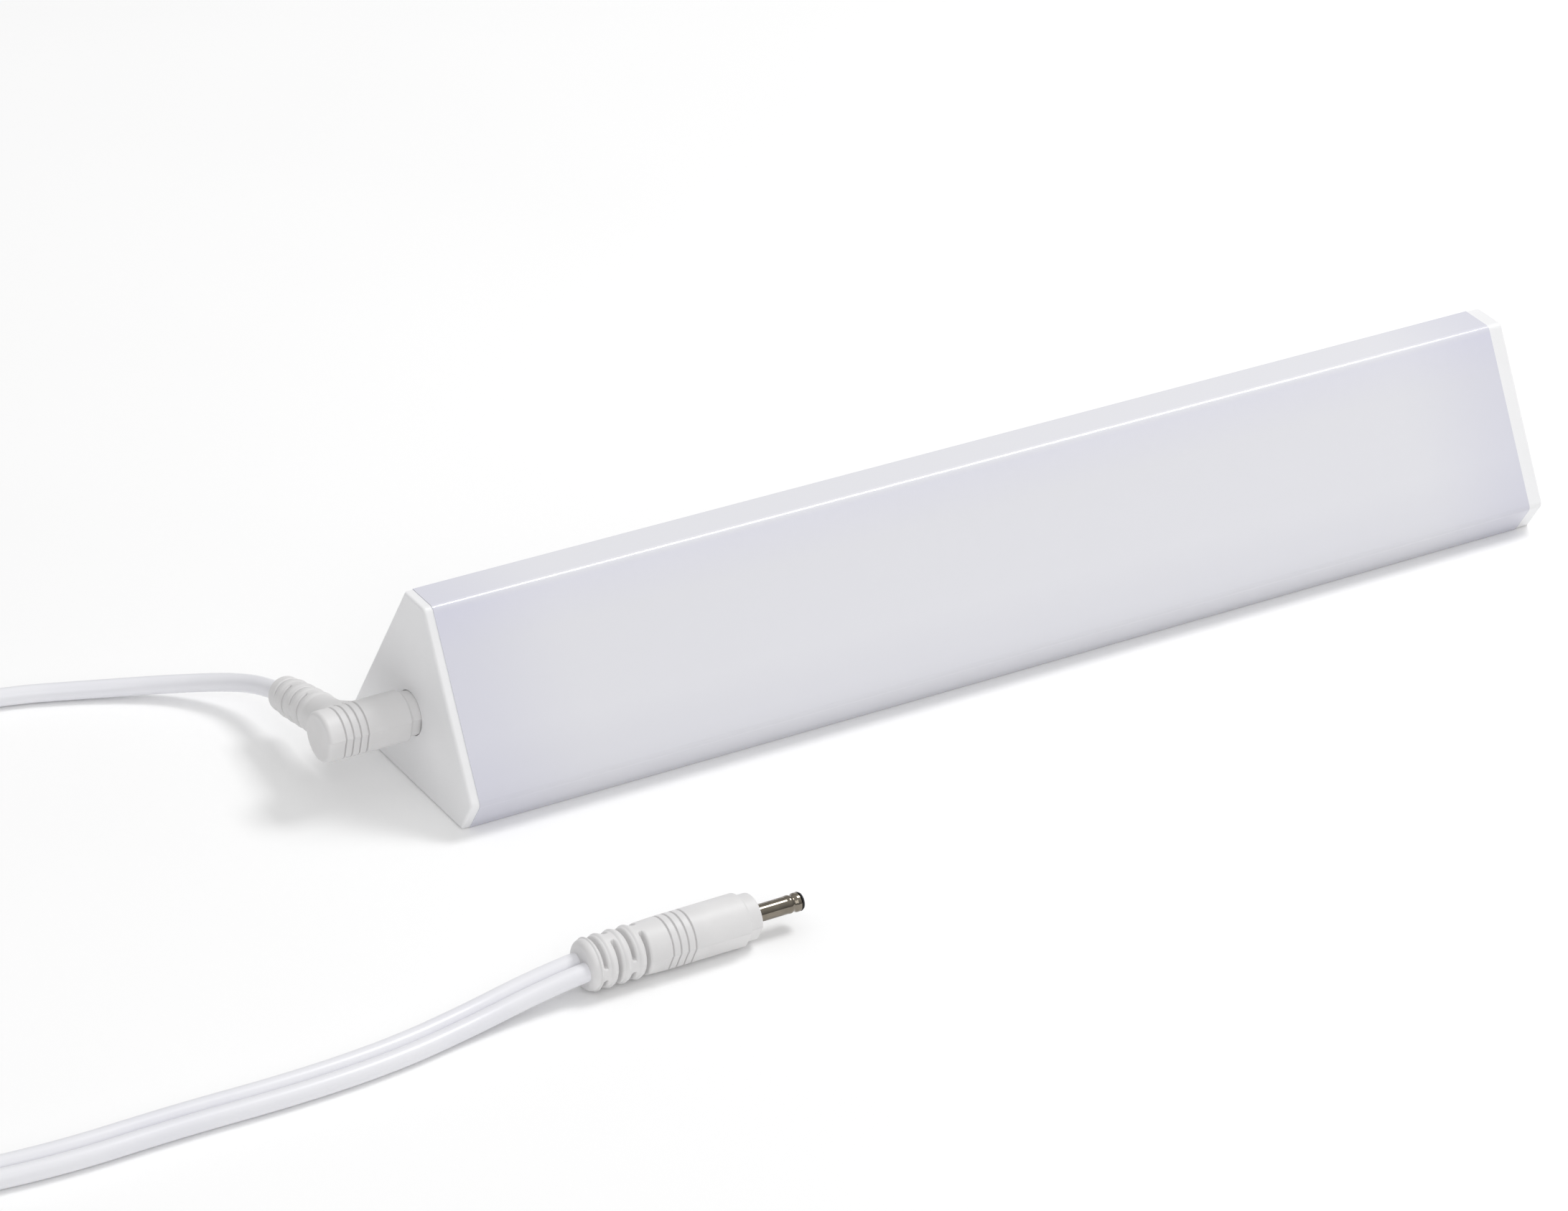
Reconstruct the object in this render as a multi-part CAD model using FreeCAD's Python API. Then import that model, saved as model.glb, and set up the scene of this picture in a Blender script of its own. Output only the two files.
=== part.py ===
"""LED light tube with its two-branch low-voltage lead, in millimetres.

The tube is an extrusion whose section is an equilateral triangle with its two front corners cut off.
It lies on one back wall, along X, with its jack at the -X end and its light face turned to -Y and up.
An angled DC plug sits in the jack. Its lead runs to a coil and back to a straight DC plug, and the
second branch runs from the straight plug through the same coil to a spare angled plug.
"""

import FreeCAD, Part
import math
import os
from FreeCAD import Placement, Rotation, Vector

os.makedirs("parts", exist_ok=True)

# Tube
TUBE_LENGTH = 262.0
FRONT_WIDTH = 40.0
CORNER_CUT = 8.0
FRONT_EDGE_RADIUS = 1.5
JACK_CAP_RIM = 2.0
BLANK_CAP_RIM = 3.6
CAP_SET_BACK = 0.15
CAP_EDGE_RADIUS = 0.6
HOUSING_WALL = 1.8
DIFFUSER_WALL = 1.6
LIP_REACH = 2.0
LIP_THICKNESS = 1.2
SLIP_FIT = 0.2

# Shelf across the tube that carries the board
SHELF_DEPTH = 11.8
SHELF_THICKNESS = 1.4
SHELF_GAP_LENGTH = 22.0
SPIGOT_LENGTH = 6.0
SPIGOT_WALL = 1.2
SPIGOT_DEPTH = 22.0
TAB_WIDTH = 24.0

# Board and lamps
BOARD_WIDTH = 32.0
BOARD_THICKNESS = 1.0
TAPE_THICKNESS = 0.2
BOARD_MARGIN = 12.0
BOARD_START = 2.0
LED_LENGTH = 3.5
LED_WIDTH = 2.8
LED_HEIGHT = 1.2
LED_PER_ROW = 18
LED_ROW_SPACING = 15.0
RESISTOR_LENGTH = 3.2
RESISTOR_WIDTH = 1.6
RESISTOR_HEIGHT = 0.6
RESISTOR_COUNT = 12
WIRE_DIAMETER = 1.3
WIRE_PAD_X = 6.0

# Jack
JACK_DEPTH = 17.2
JACK_BODY_ACROSS = 9.0
JACK_BODY_DEPTH = 7.6
JACK_BODY_LENGTH = 14.4
JACK_BORE_LENGTH = 11.3
PIN_CLEARANCE = 0.08
JACK_TAIL_LENGTH = 3.0
BORE_CLEARANCE = 0.15
COLLAR_CLEARANCE = 0.15
LEAF_THICKNESS = 0.3
LEAF_WIDTH = 1.6
LEAF_LENGTH = 7.0

# DC plugs
PLUG_RADIUS = 5.25
COLLAR_STEP = 0.7
BARREL_LENGTH = 10.9
BARREL_RADIUS = 1.75
BARREL_WALL = 0.45
BARREL_FLARE = 0.15
BARREL_TIP_LENGTH = 1.6
BARREL_ROOT = 6.0
BARREL_ROOT_FLANGE = 0.45
BARREL_ROOT_SUNK = 0.3
INSULATOR_WALL = 0.45
INSULATOR_LIP = 0.4
CONTACT_WALL = 0.17
CONTACT_SET_BACK = 1.5
INNER_MOULD_RADIUS = 3.4
INNER_MOULD_FRONT = 1.0
INNER_MOULD_LENGTH = 11.0
GROOVE_COUNT = 4
GROOVE_PITCH = 1.65
GROOVE_WIDTH = 0.35
GROOVE_DEPTH = 0.3
SHOULDER_RADIUS = 0.4
SLOT_COUNT = 4

# Angled plug: its tail stands square to its head
HEAD_LENGTH = 18.3
HEAD_COLLAR = 3.6
HEAD_COLLAR_INSET = 1.4
HEAD_EDGE_RADIUS = 0.9
HEAD_FIRST_GROOVE = 3.5
TAIL_FROM_HEAD_END = 6.7
TAIL_LENGTH = 28.5
TAIL_ROOT_STEP = 0.85
TAIL_END_STEP = 1.5
TAIL_DROOP = 12.2
TAIL_SLOTS = {"first": 14.2, "pitch": 3.4, "width": 0.6, "depth": 1.1, "bridge": 2.2, "rounding": 1.0}

# Straight plug
BODY_COLLAR = 2.9
BODY_LENGTH = 34.5
BODY_FIRST_GROOVE = 10.8
RELIEF_LENGTH = 14.5
RELIEF_STEP = 0.1
RELIEF_SLOTS = {"first": 1.95, "pitch": 3.05, "width": 1.1, "depth": 1.9, "bridge": 2.4, "rounding": 1.4}
STRAIGHT_PLUG_X = -101.6
STRAIGHT_PLUG_Y = -82.3

# Cord and coil
CORD_RADIUS = 1.9
CORD_SPACING = 3.9
FLOOR_GAP = 0.1
ARC_SHARE = 0.45
COIL_X = -292.0
COIL_Y = -6.0
COIL_COLUMNS = 3
COIL_ROWS = 2
COIL_MEAN_RADIUS = 22.0
COIL_TURN = 2 * CORD_RADIUS
TIE_THICKNESS = 0.5
TIE_WIDTH = 4.0
TIE_ANGLE = -45.0
TIE_GAP = 0.2
TIE_TWIST_LENGTH = 6.0
TIE_TWIST_WIDTH = 1.6

# Worked out from the sizes above
SIN30 = math.sin(math.radians(30.0))
COS30 = math.cos(math.radians(30.0))
TAN30 = math.tan(math.radians(30.0))
TRIANGLE_SIDE = FRONT_WIDTH + 2 * CORNER_CUT
TRIANGLE_HEIGHT = TRIANGLE_SIDE * COS30
ROUNDED_LOSS = FRONT_EDGE_RADIUS * (1 / COS30 - 1)
SECTION_WIDTH = FRONT_WIDTH + 1.5 * CORNER_CUT
FRONT_MIDDLE_Y = -SECTION_WIDTH / 2 + FRONT_WIDTH * SIN30 / 2 - ROUNDED_LOSS / 2
FRONT_MIDDLE_Z = (CORNER_CUT + FRONT_WIDTH / 2) * COS30
JACK_END = -TUBE_LENGTH / 2
BLANK_END = TUBE_LENGTH / 2
INSIDE_START = JACK_END + JACK_CAP_RIM
INSIDE_END = BLANK_END - BLANK_CAP_RIM
SHELF_START = INSIDE_START + SHELF_GAP_LENGTH
BOARD_DEPTH = SHELF_DEPTH - TAPE_THICKNESS - BOARD_THICKNESS
COLLAR_RADIUS = PLUG_RADIUS - COLLAR_STEP
TAIL_ROOT_RADIUS = PLUG_RADIUS - TAIL_ROOT_STEP
TAIL_END_RADIUS = PLUG_RADIUS - TAIL_END_STEP
RELIEF_RADIUS = PLUG_RADIUS - RELIEF_STEP
BARREL_BORE = BARREL_RADIUS - BARREL_WALL
BARREL_TIP_RADIUS = BARREL_RADIUS + BARREL_FLARE
BARREL_ROOT_RADIUS = BARREL_RADIUS + BARREL_ROOT_FLANGE
INSULATOR_BORE = BARREL_BORE - INSULATOR_WALL
CONTACT_BORE = INSULATOR_BORE - CONTACT_WALL
JACK_PIN_RADIUS = CONTACT_BORE - PIN_CLEARANCE
FLOOR_LINE = CORD_RADIUS + FLOOR_GAP
COIL_OUTER_RADIUS = COIL_MEAN_RADIUS + COIL_TURN * (COIL_COLUMNS - 1) / 2
COIL_BASE = TIE_THICKNESS + FLOOR_GAP
COIL_HEIGHT = COIL_ROWS * COIL_TURN


def section_point(across, depth):
    """Row (y, z) of a section point: across the light face towards the floor, depth behind it."""
    y = FRONT_MIDDLE_Y - across * SIN30 + depth * COS30
    z = FRONT_MIDDLE_Z - across * COS30 - depth * SIN30
    return y, z


def half_width(depth, inset=0.0):
    """Half the triangle's width at a depth, less an inset measured square to the back walls."""
    return (TRIANGLE_HEIGHT - depth) * TAN30 - inset / COS30


def prism(corners, start, end):
    """Solid along X from start to end over section corners given as (across, depth)."""
    outline = [Vector(start, *section_point(*corner)) for corner in corners]
    face = Part.Face(Part.makePolygon(outline + outline[:1]))
    return face.extrude(Vector(end - start, 0, 0))


def outline(front=0.0, cuts=0.0, backs=0.0):
    """Five corners of the section, with its front, corner cuts and back walls inset."""
    front_half = FRONT_WIDTH / 2 + front * TAN30 - cuts / COS30
    back_depth = (half_width(0.0) - FRONT_WIDTH / 2 - (backs - cuts) / COS30) / (2 * TAN30)
    back_half = half_width(back_depth, backs)
    apex = TRIANGLE_HEIGHT - backs / SIN30
    return [
        (-front_half, front),
        (front_half, front),
        (back_half, back_depth),
        (0.0, apex),
        (-back_half, back_depth),
    ]


def wedge(inset, depth):
    """Corners of the space between the back walls, from a depth to the apex."""
    half = half_width(depth, inset)
    return [(-half, depth), (half, depth), (0.0, TRIANGLE_HEIGHT - inset / SIN30)]


def slab(half, depth, thickness, start, end, centre=0.0):
    """Flat bar parallel to the light face."""
    low, high = centre - half, centre + half
    corners = [(low, depth), (high, depth), (high, depth + thickness), (low, depth + thickness)]
    return prism(corners, start, end)


def edges_along_x(shape, corner):
    """Edges parallel to X through a section corner given as (across, depth)."""
    y, z = section_point(*corner)
    return [
        edge
        for edge in shape.Edges
        if all(math.hypot(v.Y - y, v.Z - z) < 0.01 for v in edge.Vertexes)
    ]


def edges_at_x(shape, x):
    """Edges that lie in the plane across the tube at x."""
    return [edge for edge in shape.Edges if all(abs(v.X - x) < 0.001 for v in edge.Vertexes)]


def rod(radius, start, end):
    """Cylinder between two points."""
    axis = end - start
    return Part.makeCylinder(radius, axis.Length, start, axis)


def make_back_housing():
    """V-shaped extrusion: two back walls and the shelf that carries the board."""
    gap = DIFFUSER_WALL + SLIP_FIT
    walls = prism(outline(front=gap, cuts=gap), INSIDE_START, INSIDE_END)
    walls = walls.cut(prism(wedge(HOUSING_WALL, 0.0), INSIDE_START - 1, INSIDE_END + 1))
    top = half_width(SHELF_DEPTH, HOUSING_WALL / 2)
    bottom = half_width(SHELF_DEPTH + SHELF_THICKNESS, HOUSING_WALL / 2)
    back = SHELF_DEPTH + SHELF_THICKNESS
    corners = [(-top, SHELF_DEPTH), (top, SHELF_DEPTH), (bottom, back), (-bottom, back)]
    return walls.fuse(prism(corners, SHELF_START, INSIDE_END)).removeSplitter()


def make_diffuser():
    """Opal cover round the front and both corner cuts, with a lip behind each back wall."""
    wall = DIFFUSER_WALL
    cover = prism(outline(), INSIDE_START, INSIDE_END)
    cover = cover.cut(
        prism(outline(front=wall, cuts=wall, backs=-wall), INSIDE_START - 1, INSIDE_END + 1)
    )
    lip_inset = HOUSING_WALL + SLIP_FIT
    reach = wall + LIP_REACH
    lips = prism(outline(front=wall, cuts=wall, backs=lip_inset), INSIDE_START, SHELF_START)
    lips = lips.cut(prism(outline(front=0.0, cuts=reach), INSIDE_START - 1, SHELF_START + 1))
    lips = lips.cut(prism(wedge(lip_inset + LIP_THICKNESS, 0.0), INSIDE_START - 1, SHELF_START + 1))
    far = lips.copy()
    lips.translate(Vector(SPIGOT_LENGTH, 0, 0))
    far.translate(Vector(INSIDE_END - SHELF_START - SPIGOT_LENGTH, 0, 0))
    cover = cover.fuse([lips, far]).removeSplitter()
    half = FRONT_WIDTH / 2
    outer = edges_along_x(cover, (-half, 0.0)) + edges_along_x(cover, (half, 0.0))
    return cover.makeFillet(FRONT_EDGE_RADIUS, outer)


def make_cap(outer_x, inner_x):
    """End cap: a rounded plate, a V spigot between the back walls and a tab behind the light face."""
    inset = CAP_SET_BACK
    corners = outline(front=inset, cuts=inset, backs=inset)
    plate = prism(corners, outer_x, inner_x)
    front_edges = edges_along_x(plate, corners[0]) + edges_along_x(plate, corners[1])
    plate = plate.makeFillet(FRONT_EDGE_RADIUS, front_edges)
    plate = plate.makeFillet(CAP_EDGE_RADIUS, edges_at_x(plate, outer_x))
    reach = inner_x + math.copysign(SPIGOT_LENGTH, inner_x - outer_x)
    beyond = inner_x + math.copysign(SPIGOT_LENGTH + 1, inner_x - outer_x)
    fit = HOUSING_WALL + SLIP_FIT
    spigot = prism(wedge(fit, SPIGOT_DEPTH), inner_x, reach)
    spigot = spigot.cut(prism(wedge(fit + SPIGOT_WALL, 0.0), inner_x, beyond))
    tab = slab(TAB_WIDTH / 2, DIFFUSER_WALL + SLIP_FIT, SPIGOT_WALL, inner_x, reach)
    return plate.fuse([spigot, tab]).removeSplitter()


def jack_point(x):
    """Point on the jack's axis."""
    return Vector(x, *section_point(0.0, JACK_DEPTH))


def make_jack_cap():
    """End cap with the round hole that the plug's collar enters."""
    cap = make_cap(JACK_END, INSIDE_START)
    hole = rod(COLLAR_RADIUS + COLLAR_CLEARANCE, jack_point(JACK_END - 1), jack_point(INSIDE_START + 1))
    return cap.cut(hole)


def make_jack_housing(pin, leaf):
    """Jack body with the barrel's bore, the leaf's pocket and the passages of both contacts."""
    end = INSIDE_START + JACK_BODY_LENGTH
    half = JACK_BODY_ACROSS / 2
    body = slab(half, JACK_DEPTH - JACK_BODY_DEPTH / 2, JACK_BODY_DEPTH, INSIDE_START, end)
    bore_end = jack_point(INSIDE_START + JACK_BORE_LENGTH)
    bore = rod(BARREL_TIP_RADIUS + BORE_CLEARANCE, jack_point(INSIDE_START - 1), bore_end)
    pocket_half = (LEAF_THICKNESS + 2 * BORE_CLEARANCE) / 2
    pocket = slab(
        pocket_half,
        JACK_DEPTH - LEAF_WIDTH / 2,
        LEAF_WIDTH,
        INSIDE_START + 1,
        end - 1,
        leaf_across(),
    )
    return body.cut(bore).cut(pocket).cut(leaf).cut(pin)


def make_jack_pin():
    """Centre pin, from the bore out to its solder tail."""
    tail_end = INSIDE_START + JACK_BODY_LENGTH + JACK_TAIL_LENGTH
    pin = rod(JACK_PIN_RADIUS, jack_point(INSIDE_START + 2), jack_point(tail_end))
    return pin.makeChamfer(JACK_PIN_RADIUS / 3, edges_at_x(pin, INSIDE_START + 2))


def leaf_across():
    """Place of the sleeve contact beside the bore."""
    return BARREL_TIP_RADIUS + BORE_CLEARANCE + LEAF_THICKNESS


def make_jack_leaf():
    """Spring leaf that bears on the barrel, with its solder tail."""
    end = INSIDE_START + JACK_BODY_LENGTH + JACK_TAIL_LENGTH
    start = INSIDE_START + JACK_BODY_LENGTH - 1 - LEAF_LENGTH
    depth = JACK_DEPTH - LEAF_WIDTH / 2
    return slab(LEAF_THICKNESS / 2, depth, LEAF_WIDTH, start, end, leaf_across())


def make_tape():
    """Thermal tape between the shelf and the board."""
    depth = SHELF_DEPTH - TAPE_THICKNESS
    start = SHELF_START + BOARD_START
    return slab(BOARD_WIDTH / 2, depth, TAPE_THICKNESS, start, INSIDE_END - BOARD_MARGIN)


def make_board():
    """Long LED board."""
    start = SHELF_START + BOARD_START
    return slab(BOARD_WIDTH / 2, BOARD_DEPTH, BOARD_THICKNESS, start, INSIDE_END - BOARD_MARGIN)


def board_parts(count, length, width, height, lanes, first_x, last_x):
    """Row or rows of small parts soldered to the front of the board."""
    step = (last_x - first_x) / (count - 1)
    parts = []
    for lane in lanes:
        for index in range(count):
            x = first_x + index * step
            depth = BOARD_DEPTH - height
            parts.append(slab(width / 2, depth, height, x - length / 2, x + length / 2, lane))
    return Part.makeCompound(parts)


def make_leds():
    """Two rows of white LED packages."""
    lanes = (-LED_ROW_SPACING / 2, LED_ROW_SPACING / 2)
    first = SHELF_START + BOARD_MARGIN
    last = INSIDE_END - BOARD_MARGIN - LED_LENGTH
    return board_parts(LED_PER_ROW, LED_LENGTH, LED_WIDTH, LED_HEIGHT, lanes, first, last)


def make_resistors():
    """Series resistors down the middle of the board."""
    first = SHELF_START + BOARD_MARGIN
    last = INSIDE_END - BOARD_MARGIN - LED_LENGTH
    sizes = (RESISTOR_LENGTH, RESISTOR_WIDTH, RESISTOR_HEIGHT)
    return board_parts(RESISTOR_COUNT, *sizes, (0.0,), first, last)


def arc_path(points):
    """Wire of straight runs joined by tangent arcs, and the radii of those arcs."""
    edges = []
    radii = []
    start = points[0]
    for before, corner, after in zip(points, points[1:], points[2:]):
        incoming = corner - before
        outgoing = after - corner
        half_turn = incoming.getAngle(outgoing) / 2
        setback = ARC_SHARE * min(incoming.Length, outgoing.Length)
        radius = setback / math.tan(half_turn)
        incoming.normalize()
        outgoing.normalize()
        towards_centre = (outgoing - incoming).normalize()
        middle = corner + towards_centre * (radius / math.cos(half_turn) - radius)
        arc_start = corner - incoming * setback
        arc_end = corner + outgoing * setback
        edges.append(Part.LineSegment(start, arc_start).toShape())
        edges.append(Part.Arc(arc_start, middle, arc_end).toShape())
        radii.append(radius)
        start = arc_end
    edges.append(Part.LineSegment(start, points[-1]).toShape())
    return Part.Wire(edges), radii


def tube_along(points, radius, label):
    """Round cord or wire along a route. Prints its arc radii and how its volume compares."""
    path, radii = arc_path(points)
    ring = Part.Wire(Part.makeCircle(radius, points[0], points[1] - points[0]))
    tube = path.makePipeShell([ring], True, False)
    share = tube.Volume / (math.pi * radius**2 * path.Length)
    listed = ", ".join(f"{value:.0f}" for value in radii)
    print(f"{label}: length {path.Length:.1f}, volume ratio {share:.4f}, radii {listed}")
    return tube


def make_wire(across, end_x, label):
    """Insulated wire from a jack tail, through the gap before the shelf, to its pad on the board."""
    terminal_x = INSIDE_START + JACK_BODY_LENGTH + JACK_TAIL_LENGTH
    rise = SHELF_START - 1.5
    pad_depth = BOARD_DEPTH - WIRE_DIAMETER / 2 - FLOOR_GAP
    places = [
        (terminal_x, across, JACK_DEPTH),
        (rise - 1.0, across, JACK_DEPTH),
        (rise, across * 1.2, pad_depth - 0.3),
        (end_x, across * 2, pad_depth),
    ]
    route = [Vector(x, *section_point(side, depth)) for x, side, depth in places]
    return tube_along(route, WIRE_DIAMETER / 2, label)


def strain_relief(root_radius, end_radius, length, slots):
    """Tapered relief along +Z with slotted rings, each held by two bridges a quarter turn on."""
    body = Part.makeCone(root_radius, end_radius, length)
    far_edges = [edge for edge in body.Edges if all(abs(v.Z - length) < 0.001 for v in edge.Vertexes)]
    body = body.makeFillet(slots["rounding"], far_edges)
    width, bridge = slots["width"], slots["bridge"]
    for index in range(SLOT_COUNT):
        height = slots["first"] + index * slots["pitch"]
        radius = root_radius + (end_radius - root_radius) * height / length
        base = Vector(0, 0, height)
        ring = Part.makeCylinder(root_radius + 1, width, base)
        ring = ring.cut(Part.makeCylinder(radius - slots["depth"], width, base))
        reach = root_radius + 2
        bar = Part.makeBox(2 * reach, bridge, width, Vector(-reach, -bridge / 2, height))
        bar.rotate(Vector(0, 0, 0), Vector(0, 0, 1), 90.0 * (index % 2))
        body = body.cut(ring.cut(bar))
    return body


def ring_groove(x):
    """Fine decorative groove round a plug, to be cut from it."""
    outer = Part.makeCylinder(PLUG_RADIUS + 1, GROOVE_WIDTH, Vector(x, 0, 0), Vector(1, 0, 0))
    core = Part.makeCylinder(PLUG_RADIUS - GROOVE_DEPTH, GROOVE_WIDTH, Vector(x, 0, 0), Vector(1, 0, 0))
    return outer.cut(core)


def plug_barrel():
    """Barrel with its slightly flared tip, from its root inside the plug."""
    tip = BARREL_LENGTH - INSULATOR_LIP
    flare = tip - BARREL_TIP_LENGTH
    corners = [
        (-BARREL_ROOT, BARREL_BORE),
        (-BARREL_ROOT, BARREL_ROOT_RADIUS),
        (-BARREL_ROOT_SUNK, BARREL_ROOT_RADIUS),
        (-BARREL_ROOT_SUNK, BARREL_RADIUS),
        (flare, BARREL_RADIUS),
        (flare + BARREL_TIP_LENGTH / 2, BARREL_TIP_RADIUS),
        (tip, BARREL_TIP_RADIUS),
        (tip, BARREL_BORE),
    ]
    return turned(corners)


def turned(corners):
    """Solid of revolution about X from (x, radius) corners."""
    points = [Vector(x, radius, 0) for x, radius in corners]
    face = Part.Face(Part.makePolygon(points + points[:1]))
    return face.revolve(Vector(0, 0, 0), Vector(1, 0, 0), 360)


def plug_insulator():
    """Black sleeve inside the barrel, with the lip that covers its tip."""
    tip = BARREL_LENGTH - INSULATOR_LIP
    corners = [
        (-BARREL_ROOT, INSULATOR_BORE),
        (-BARREL_ROOT, BARREL_BORE),
        (tip, BARREL_BORE),
        (tip, BARREL_TIP_RADIUS),
        (BARREL_LENGTH, BARREL_TIP_RADIUS - INSULATOR_LIP / 2),
        (BARREL_LENGTH, INSULATOR_BORE),
    ]
    return turned(corners)


def plug_contact():
    """Inner contact sleeve that the jack's pin enters."""
    end = BARREL_LENGTH - CONTACT_SET_BACK
    corners = [
        (-BARREL_ROOT, CONTACT_BORE),
        (-BARREL_ROOT, INSULATOR_BORE),
        (end, INSULATOR_BORE),
        (end, CONTACT_BORE),
    ]
    return turned(corners)


def plug_inner_mould():
    """Rigid core that holds the barrel inside the soft moulding."""
    back = -INNER_MOULD_FRONT - INNER_MOULD_LENGTH
    core = rod(INNER_MOULD_RADIUS, Vector(back, 0, 0), Vector(-INNER_MOULD_FRONT, 0, 0))
    return core.cut(barrel_space())


def barrel_space():
    """Room that the barrel and what is in it take up inside a plug."""
    root = rod(BARREL_ROOT_RADIUS, Vector(-BARREL_ROOT, 0, 0), Vector(-BARREL_ROOT_SUNK, 0, 0))
    return root.fuse(rod(BARREL_RADIUS, Vector(-BARREL_ROOT, 0, 0), Vector(1, 0, 0)))


def core_space():
    """Everything inside a plug that its soft moulding is moulded round."""
    back = -INNER_MOULD_FRONT - INNER_MOULD_LENGTH
    core = rod(INNER_MOULD_RADIUS, Vector(back, 0, 0), Vector(-INNER_MOULD_FRONT, 0, 0))
    return core.fuse(barrel_space())


def angled_moulding():
    """Soft moulding of the angled plug: head along X, tail along +Y."""
    head_end = -HEAD_COLLAR - HEAD_LENGTH
    head = rod(PLUG_RADIUS, Vector(head_end, 0, 0), Vector(-HEAD_COLLAR, 0, 0))
    head = head.makeFillet(HEAD_EDGE_RADIUS, edges_at_x(head, head_end))
    head = head.makeFillet(SHOULDER_RADIUS, edges_at_x(head, -HEAD_COLLAR))
    for index in range(GROOVE_COUNT):
        head = head.cut(ring_groove(head_end + HEAD_FIRST_GROOVE + index * GROOVE_PITCH))
    collar = rod(COLLAR_RADIUS, Vector(-HEAD_COLLAR, 0, 0), Vector(0, 0, 0))
    tail = strain_relief(TAIL_ROOT_RADIUS, TAIL_END_RADIUS, TAIL_LENGTH, TAIL_SLOTS)
    # Its first slot has its bridges above and below, as the straight plug's has.
    turn = Rotation(Vector(1, 0, 0), -90).multiply(Rotation(Vector(0, 0, 1), 90))
    tail.Placement = Placement(Vector(head_end + TAIL_FROM_HEAD_END, 0, 0), turn)
    return head.fuse([collar, tail]).cut(core_space())


def straight_moulding():
    """Soft moulding of the straight plug, from its collar back to its slotted relief."""
    back = -BODY_COLLAR - BODY_LENGTH
    body_end = back + RELIEF_LENGTH
    body = rod(PLUG_RADIUS, Vector(body_end, 0, 0), Vector(-BODY_COLLAR, 0, 0))
    body = body.makeFillet(SHOULDER_RADIUS, edges_at_x(body, -BODY_COLLAR))
    for index in range(GROOVE_COUNT):
        groove_x = -BODY_COLLAR - BODY_FIRST_GROOVE - (index + 1) * GROOVE_PITCH + GROOVE_WIDTH
        body = body.cut(ring_groove(groove_x))
    collar = rod(COLLAR_RADIUS, Vector(-BODY_COLLAR, 0, 0), Vector(0, 0, 0))
    collar = collar.makeFillet(SHOULDER_RADIUS, edges_at_x(collar, 0.0))
    relief = strain_relief(PLUG_RADIUS, RELIEF_RADIUS, RELIEF_LENGTH, RELIEF_SLOTS)
    relief.Placement = Placement(Vector(body_end, 0, 0), Rotation(Vector(0, 1, 0), -90))
    return body.fuse([collar, relief]).cut(core_space())


def place_plug(prefix, moulding, place):
    """Five pieces of one plug, moved from its own frame to their place in the row."""
    pieces = {
        "moulding": moulding,
        "inner_mould": plug_inner_mould(),
        "barrel": plug_barrel(),
        "insulator": plug_insulator(),
        "contact": plug_contact(),
    }
    for name, shape in pieces.items():
        shape.Placement = place.multiply(shape.Placement)
    return {f"{prefix}_{name}": shape for name, shape in pieces.items()}


def coil_point(angle, height):
    """Point on the coil's outermost column, at an angle in degrees from +X."""
    turn = math.radians(angle)
    x = COIL_X + COIL_OUTER_RADIUS * math.cos(turn)
    y = COIL_Y + COIL_OUTER_RADIUS * math.sin(turn)
    return Vector(x, y, height)


def make_coil(base):
    """Closed ring with the outer shape of the turns of one lead."""
    inner = COIL_MEAN_RADIUS - COIL_COLUMNS * COIL_TURN / 2
    outer = COIL_MEAN_RADIUS + COIL_COLUMNS * COIL_TURN / 2
    centre = Vector(COIL_X, COIL_Y, base)
    ring = Part.makeCylinder(outer, COIL_HEIGHT, centre)
    ring = ring.cut(Part.makeCylinder(inner, COIL_HEIGHT, centre))
    level = COIL_HEIGHT if base > COIL_BASE else 0.0
    rims = [e for e in ring.Edges if all(abs(v.Z - base - level) < 0.001 for v in e.Vertexes)]
    return ring.makeFillet(CORD_RADIUS * 0.8, rims)


def make_tie():
    """Flat tie round both layers of the coil, with its two ends twisted together outside."""
    gap = TIE_GAP
    inner = COIL_MEAN_RADIUS - COIL_COLUMNS * COIL_TURN / 2 - gap
    width = COIL_COLUMNS * COIL_TURN + 2 * gap
    height = 2 * COIL_HEIGHT + gap
    low = COIL_BASE - FLOOR_GAP / 2
    skin = TIE_THICKNESS
    outer = Part.makeBox(
        width + 2 * skin,
        TIE_WIDTH,
        height + 2 * skin,
        Vector(inner - skin, -TIE_WIDTH / 2, low - skin),
    )
    opening = Part.makeBox(width, TIE_WIDTH, height, Vector(inner, -TIE_WIDTH / 2, low))
    loop = outer.cut(opening)
    twist = TIE_TWIST_WIDTH
    corner = Vector(inner + width + skin, -twist / 2, low + height / 2)
    tie = loop.fuse(Part.makeBox(TIE_TWIST_LENGTH, twist, twist, corner))
    tie.rotate(Vector(0, 0, 0), Vector(0, 0, 1), TIE_ANGLE)
    tie.translate(Vector(COIL_X, COIL_Y, 0))
    return tie


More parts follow.
